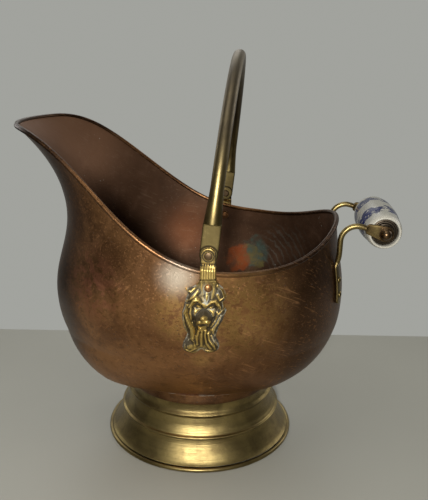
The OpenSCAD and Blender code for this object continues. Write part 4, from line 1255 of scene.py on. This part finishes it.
class SCUTTLE_OT_finishes(bpy.types.Operator):
    """Make the finishes of copper, brass, solder and porcelain"""

    bl_idname = "scuttle.finishes"
    bl_label = "Finishes"

    def execute(self, context):
        look = context.scene.scuttle_look
        brass, dark = look.brass, look.brass_dark
        make_copper(look, "old_copper")
        make_copper(look, "rivet_copper", 1.25)
        make_copper(look, "dark_copper", 0.5)
        make_copper(look, "rim_copper", 0.58)
        make_copper_inside(look)
        make_brass("turned_brass", dimmed(brass, 0.62), dimmed(dark, 0.62), 0.24, lathe=True)
        make_brass("tarnished_brass", dimmed(brass, 0.5), dimmed(dark, 0.6), 0.26,
                   eye_tone=(0.105, 0.062, 0.030))
        # the bail's finish paints a shadow and grime ring round the pivot and paints its top darker as shade
        make_brass("bail_brass", dimmed(brass, 0.48), dimmed(dark, 0.5), 0.24, brushed=(2200, 2200, 14),
                   ring=(6.2, 6.8, 7.6, 8.8), dull_from=255)
        make_brass("browned_brass", (0.17, 0.105, 0.052), (0.08, 0.05, 0.026), 0.26)
        make_brass("pivot_brass", (0.13, 0.085, 0.045), (0.05, 0.032, 0.018), 0.38)
        make_brass("cap_brass", (0.085, 0.065, 0.045), (0.035, 0.028, 0.02), 0.34)
        make_cast_brass(look)
        make_solder(look)
        make_porcelain(look)
        return {"FINISHED"}


class SCUTTLE_OT_bowl(bpy.types.Operator):
    """Raise the copper bowl with its spout, and give it the sheet's thickness"""

    bl_idname = "scuttle.bowl"
    bl_label = "Bowl"

    def execute(self, context):
        form = context.scene.scuttle_form
        bowl = draped("copper_bowl", form.bowl_columns, form.bowl_rows, bowl_skin, closed=False, angle=50)
        belly = min(bowl.data.polygons, key=lambda face: abs(face.center.z - BELLY_Z * MM) + face.center.y)
        if belly.normal.y > 0:
            bowl.data.flip_normals()
        for finish in ("old_copper", "stained_copper"):
            bowl.data.materials.append(bpy.data.materials[finish])
        take(bowl)
        sheet = bowl.modifiers.new("Sheet", "SOLIDIFY")
        sheet.thickness = form.sheet
        sheet.offset = -1.0
        sheet.material_offset = 1
        bpy.ops.object.modifier_apply(modifier=sheet.name)
        soften(bowl, 50)
        dress(bowl, "bowl")
        return {"FINISHED"}


class SCUTTLE_OT_rim(bpy.types.Operator):
    """Roll the bead along the rim"""

    bl_idname = "scuttle.rim"
    bl_label = "Rim bead"

    def execute(self, context):
        dress(draped("rolled_rim", 420, 28, bead_skin, angle=60), "rim_bead", "rim_copper")
        return {"FINISHED"}


class SCUTTLE_OT_foot(bpy.types.Operator):
    """Spin the brass foot and its wired edge"""

    bl_idname = "scuttle.foot"
    bl_label = "Foot"

    def execute(self, context):
        foot = turned("spun_foot", foot_profile(), steps=144, angle=38)
        dress(foot, "foot", "turned_brass")
        roll = turned("foot_edge", roll_profile(), steps=144, angle=50)
        dress(roll, "foot_roll", "tarnished_brass")
        return {"FINISHED"}


class SCUTTLE_OT_collar(bpy.types.Operator):
    """Bend the copper collar round the neck and run the ragged solder above it"""

    bl_idname = "scuttle.collar"
    bl_label = "Collar and solder"

    def execute(self, context):
        dress(turned("neck_collar", collar_profile(), steps=144, angle=50), "copper_collar",
              "dark_copper")
        seam = turned("solder_seam", solder_profile(), steps=288, angle=60)
        points = read_points(seam) / MM
        turn = np.arctan2(points[:, 1], points[:, 0])
        drop = 0.5 + 0.5 * ripple(9 * turn, 23 * turn + 1, 41 * turn, 67 * turn + 2)
        hang = np.clip((SEAT_Z - points[:, 2]) / SOLDER_W, 0, 1)
        points[:, 2] += hang * (0.9 - 1.1 * drop) * 0.8
        points[:, :2] *= (1 - 0.006 * (1 - drop))[:, None]
        write_points(seam, points * MM)
        dress(seam, "solder_fillet", "old_solder")
        return {"FINISHED"}


class SCUTTLE_OT_bail(bpy.types.Operator):
    """Bend the bail's rod into its arch, with flat forged ends"""

    bl_idname = "scuttle.bail"
    bl_label = "Bail"

    def execute(self, context):
        dress(draped("swing_bail", 40, 260, bail_skin, angle=38), "bail", "bail_brass", "bail")
        return {"FINISHED"}


class SCUTTLE_OT_masks(bpy.types.Operator):
    """Model the near lion mask with its strap, and mirror it to the far side"""

    bl_idname = "scuttle.masks"
    bl_label = "Lion masks"

    def execute(self, context):
        mask = draped("lion_head_near", 150, 330, mask_skin, angle=60)
        points = read_points(mask) / MM
        d = PIVOT_Z - points[:, 2]
        x = points[:, 0] - mask_middle(points[:, 2])
        edge = np.abs(x) / mask_half(x, d)
        # rise carries the mask's and strap's tone: rubbing and patina together with painted highlight and
        # painted shade
        rise = np.where(d < 19, strap_tone(x, d), mask_tone(x, d))
        # a dark line just inside the casting's edge: tarnish together with painted shade
        rise = rise - 0.5 * np.exp(-(((edge - 0.84) / 0.05) ** 2)) * (d > 24)
        margin = np.clip((edge - 0.88) / 0.06, 0, 1) * (d > 23)
        chalk = sum(np.exp(-(((x - cx) / wx) ** 2) - ((d - cd) / wd) ** 2) for cx, cd, wx, wd in MASK_CHALK)
        for name, values in (("rise", rise), ("margin", margin), ("chalk", chalk)):
            attribute = mask.data.attributes.new(name, "FLOAT", "POINT")
            attribute.data.foreach_set("value", values.astype(np.float32))
        dress(mask, "lion_mask_near", "lion_brass")
        dress(mirrored(mask, "lion_head_far"), "lion_mask_far")
        return {"FINISHED"}


class SCUTTLE_OT_rivets(bpy.types.Operator):
    """Set the rivets of the bail's pivots, the masks and the handle's feet"""

    bl_idname = "scuttle.rivets"
    bl_label = "Rivets"

    def execute(self, context):
        seat = STRAP_IN + STRAP_T + 0.15
        tail = FLAT_Y - FLAT_T / 2 - TURN_GAP / 2 - 1.05
        mask_z = PIVOT_Z - 25
        mask_bearing = -float(bearing_at(mask_middle(mask_z), mask_z))
        for side, sign in SIDES:
            pin = turned(f"pivot_pin_{side}", rivet_profile(3.3, 0.85, 2.5, seat - tail, 3.7, 1.3),
                         (PIVOT_X, sign * seat, PIVOT_Z), (0, sign, 0), 32, 40)
            dress(pin, f"pivot_rivet_{side}", "pivot_brass")
            pin = self.set_on_bowl(f"copper_rivet_{side}", sign, mask_bearing, mask_z,
                                   STRAP_T + SEAT_GAP + 1.4, (3.1, 1.6, 2.0), (2.8, 1.1))
            dress(pin, f"mask_rivet_{side}", "rivet_copper")
            for level, z in (("upper", 172.0), ("lower", 158.5)):
                pin = self.set_on_bowl(f"arm_pin_{level}_{side}", sign, arm_bearing(z), z,
                                       SEAT_GAP + ARM_FLAT_T, (2.95, 1.45, 1.6), (2.4, 1.0))
                dress(pin, f"arm_rivet_{level}_{side}", "tarnished_brass")
        return {"FINISHED"}

    def set_on_bowl(self, name, sign, bearing, z, seat, head, tail):
        """A rivet through the bowl at a bearing and height, its head lying seat above the outer face."""
        out = bowl_normal(np.array([bearing]), np.array([z]))[0]
        at = bowl_point(bearing, z) + out * seat
        to_side = np.array((1, -sign, 1))
        return turned(name, rivet_profile(*head, seat + 2.9, *tail), at * to_side, out * to_side, 32, 50)


class SCUTTLE_OT_arms(bpy.types.Operator):
    """Forge the near arm of the rear handle, and mirror it to the far side"""

    bl_idname = "scuttle.arms"
    bl_label = "Handle arms"

    def execute(self, context):
        arm = draped("rod_arm_near", 24, 230, arm_skin, angle=45)
        dress(arm, "handle_arm_near", "tarnished_brass")
        dress(mirrored(arm, "rod_arm_far"), "handle_arm_far")
        return {"FINISHED"}


class SCUTTLE_OT_grip(bpy.types.Operator):
    """Turn the porcelain grip, its stepped caps and its domed nuts"""

    bl_idname = "scuttle.grip"
    bl_label = "Grip"

    def execute(self, context):
        axle = (GRIP_X, 0, GRIP_Z)
        grip = turned("painted_grip", grip_profile(), axle, (0, -1, 0), 112, 42)
        dress(grip, "porcelain_grip", "painted_porcelain", "grip")
        for side, sign in SIDES:
            cap = turned(f"step_cap_{side}", cap_profile(), axle, (0, sign, 0), 72, 36)
            dress(cap, f"end_cap_{side}", "cap_brass")
            nut_at = (GRIP_X, sign * NUT_Y, GRIP_Z)
            nut = turned(f"dome_head_{side}", nut_profile(), nut_at, (0, sign, 0), 56, 40)
            dress(nut, f"dome_nut_{side}", "browned_brass")
        return {"FINISHED"}


class SCUTTLE_OT_inner_parts(bpy.types.Operator):
    """Finish the small solids that stay as they are: burrs, washers and the grip's rod"""

    bl_idname = "scuttle.inner_parts"
    bl_label = "Burrs, washers and rod"

    def execute(self, context):
        for name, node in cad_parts.items():
            for kind, finish in (("burr", "dark_copper"), ("washer", "tarnished_brass"),
                                 ("grip_rod", "tarnished_brass")):
                if kind in name:
                    node.data.materials.clear()
                    node.data.materials.append(bpy.data.materials[finish])
        return {"FINISHED"}


# The camera stands where the photographer stood: place in m, then yaw, pitch and roll in degrees
CAMERA_AT = (0.05247, -0.59925, 0.3633)
CAMERA_YAW = 3.92
CAMERA_PITCH = 16.67
CAMERA_ROLL = 1.0

# Soft lamps: place and aim in m, share of the key power, size in m
LAMPS = {
    "key": ((0.018, -0.88, 0.45), (0, 0, 0.16), 0.72, 0.08),
    "fill_top": ((-0.2, -0.3, 1.7), (0, 0, 0.15), 0.45, 0.9),
    "fill_back": ((-0.3, 1.5, 1.3), (0, 0, 0.15), 0.35, 1.0),
    "fill_spout": ((-1.3, 0.9, 0.8), (0, 0, 0.2), 0.35, 0.8),
    "fill_grip": ((1.4, 0.9, 0.8), (0, 0, 0.2), 0.45, 0.8),
}


class SCUTTLE_OT_stage(bpy.types.Operator):
    """Set the plain table, the surroundings, the soft lights and the camera"""

    bl_idname = "scuttle.stage"
    bl_label = "Stage"

    def execute(self, context):
        stage = context.scene.scuttle_stage
        self.set_table(stage)
        self.set_surroundings(context, stage)
        self.set_lights(stage)
        self.set_camera(context, stage)
        context.scene.view_settings.view_transform = "Standard"
        return {"FINISHED"}

    def set_table(self, stage):
        start_fresh()
        bpy.ops.mesh.primitive_plane_add(size=1, location=(0, -1.18, 0))
        table = named("pale_table")
        bpy.ops.transform.resize(value=(3.6, 2.8, 1))
        bpy.ops.object.transform_apply(location=True, scale=True)
        table.rotation_euler = (0, 0, math.radians(CAMERA_YAW))
        bpy.ops.object.transform_apply(rotation=True)
        paint = Paint("plain_table")
        x, y, _ = paint.split()
        # painted shade: the table darkens further from the scuttle, a painted fall-off of the light
        far = ((x * x + y * y) ** 0.5).between(0.40, 0.80)
        speck = paint.noise(600, 2, 0.6)
        drift = paint.noise(3).between(0.3, 0.7)
        tone = paint.layered(paint.mix(drift, stage.floor, dimmed(stage.floor, 0.94)),
                             (far, dimmed(stage.floor, 0.25)))
        table.data.materials.append(paint.surface(tone, 0.42 + speck * 0.1, 0.0, speck, 0.05, 0.1))

    def set_surroundings(self, context, stage):
        world = bpy.data.worlds.new("plain_room")
        context.scene.world = world
        world.use_nodes = True
        paint = Paint("plain_room", world.node_tree, "Generated")
        x, y, z = paint.split()
        behind = (y.between(0.25, 0.60) * abs(x).between(0.72, 0.42)).most(z.between(0.55, 0.95) * 0.5)
        colour = paint.mix(behind, dimmed(stage.wall, 0.2), stage.wall)
        back = paint.node("ShaderNodeBackground", None, {"Color": colour, "Strength": 1.0})
        paint.node("ShaderNodeOutputWorld", None, {"Surface": back})

    def set_lights(self, stage):
        for name, (at, aim, share, size) in LAMPS.items():
            start_fresh()
            bpy.ops.object.light_add(type="AREA", location=at)
            lamp = bpy.context.object
            lamp.name = name
            lamp.data.energy = stage.key * share
            lamp.data.size = size
            lamp.rotation_euler = (Vector(aim) - Vector(at)).to_track_quat("-Z", "Y").to_euler()

    def set_camera(self, context, stage):
        start_fresh()
        bpy.ops.object.camera_add(location=CAMERA_AT)
        camera = bpy.context.object
        yaw, pitch, roll = (math.radians(a) for a in (CAMERA_YAW, CAMERA_PITCH, CAMERA_ROLL))
        top = Vector((0, 0, 1))
        right = Vector((math.cos(yaw), math.sin(yaw), 0))
        level = Vector((-math.sin(yaw), math.cos(yaw), 0))
        up = top * math.cos(pitch) + level * math.sin(pitch)
        ahead = level * math.cos(pitch) - top * math.sin(pitch)
        across = right * math.cos(roll) + up * math.sin(roll)
        up = up * math.cos(roll) - right * math.sin(roll)
        turn = Matrix((across, up, -ahead)).transposed().to_4x4()
        camera.matrix_world = Matrix.Translation(camera.location) @ turn
        camera.data.sensor_fit = "VERTICAL"
        camera.data.sensor_height = 36
        camera.data.lens = stage.lens
        camera.data.clip_start = 0.01
        context.scene.camera = camera


STEPS = (
    SCUTTLE_OT_finishes, SCUTTLE_OT_bowl, SCUTTLE_OT_rim, SCUTTLE_OT_foot, SCUTTLE_OT_collar, SCUTTLE_OT_bail,
    SCUTTLE_OT_masks, SCUTTLE_OT_rivets, SCUTTLE_OT_arms, SCUTTLE_OT_grip, SCUTTLE_OT_inner_parts,
    SCUTTLE_OT_stage,
)


class SCUTTLE_PT_panel(bpy.types.Panel):
    """Lists the steps that make the scuttle, and what a user may change"""

    bl_idname = "SCUTTLE_PT_panel"
    bl_label = "Copper coal scuttle"
    bl_space_type = "VIEW_3D"
    bl_region_type = "UI"
    bl_category = "Scuttle"

    def draw(self, context):
        column = self.layout.column(align=True)
        for step in STEPS:
            column.operator(step.bl_idname)
        for group in (context.scene.scuttle_form, context.scene.scuttle_look, context.scene.scuttle_stage):
            for name in group.__annotations__:
                column.prop(group, name)


CLASSES = (ScuttleForm, ScuttleLook, ScuttleStage, *STEPS, SCUTTLE_PT_panel)


def register():
    for cls in CLASSES:
        bpy.utils.register_class(cls)
    bpy.types.Scene.scuttle_form = bpy.props.PointerProperty(type=ScuttleForm)
    bpy.types.Scene.scuttle_look = bpy.props.PointerProperty(type=ScuttleLook)
    bpy.types.Scene.scuttle_stage = bpy.props.PointerProperty(type=ScuttleStage)


def unregister():
    del bpy.types.Scene.scuttle_stage
    del bpy.types.Scene.scuttle_look
    del bpy.types.Scene.scuttle_form
    for cls in reversed(CLASSES):
        bpy.utils.unregister_class(cls)


def main():
    register()
    for step in STEPS:
        group, name = step.bl_idname.split(".")
        getattr(getattr(bpy.ops, group), name)()


if __name__ == "__main__":
    main()
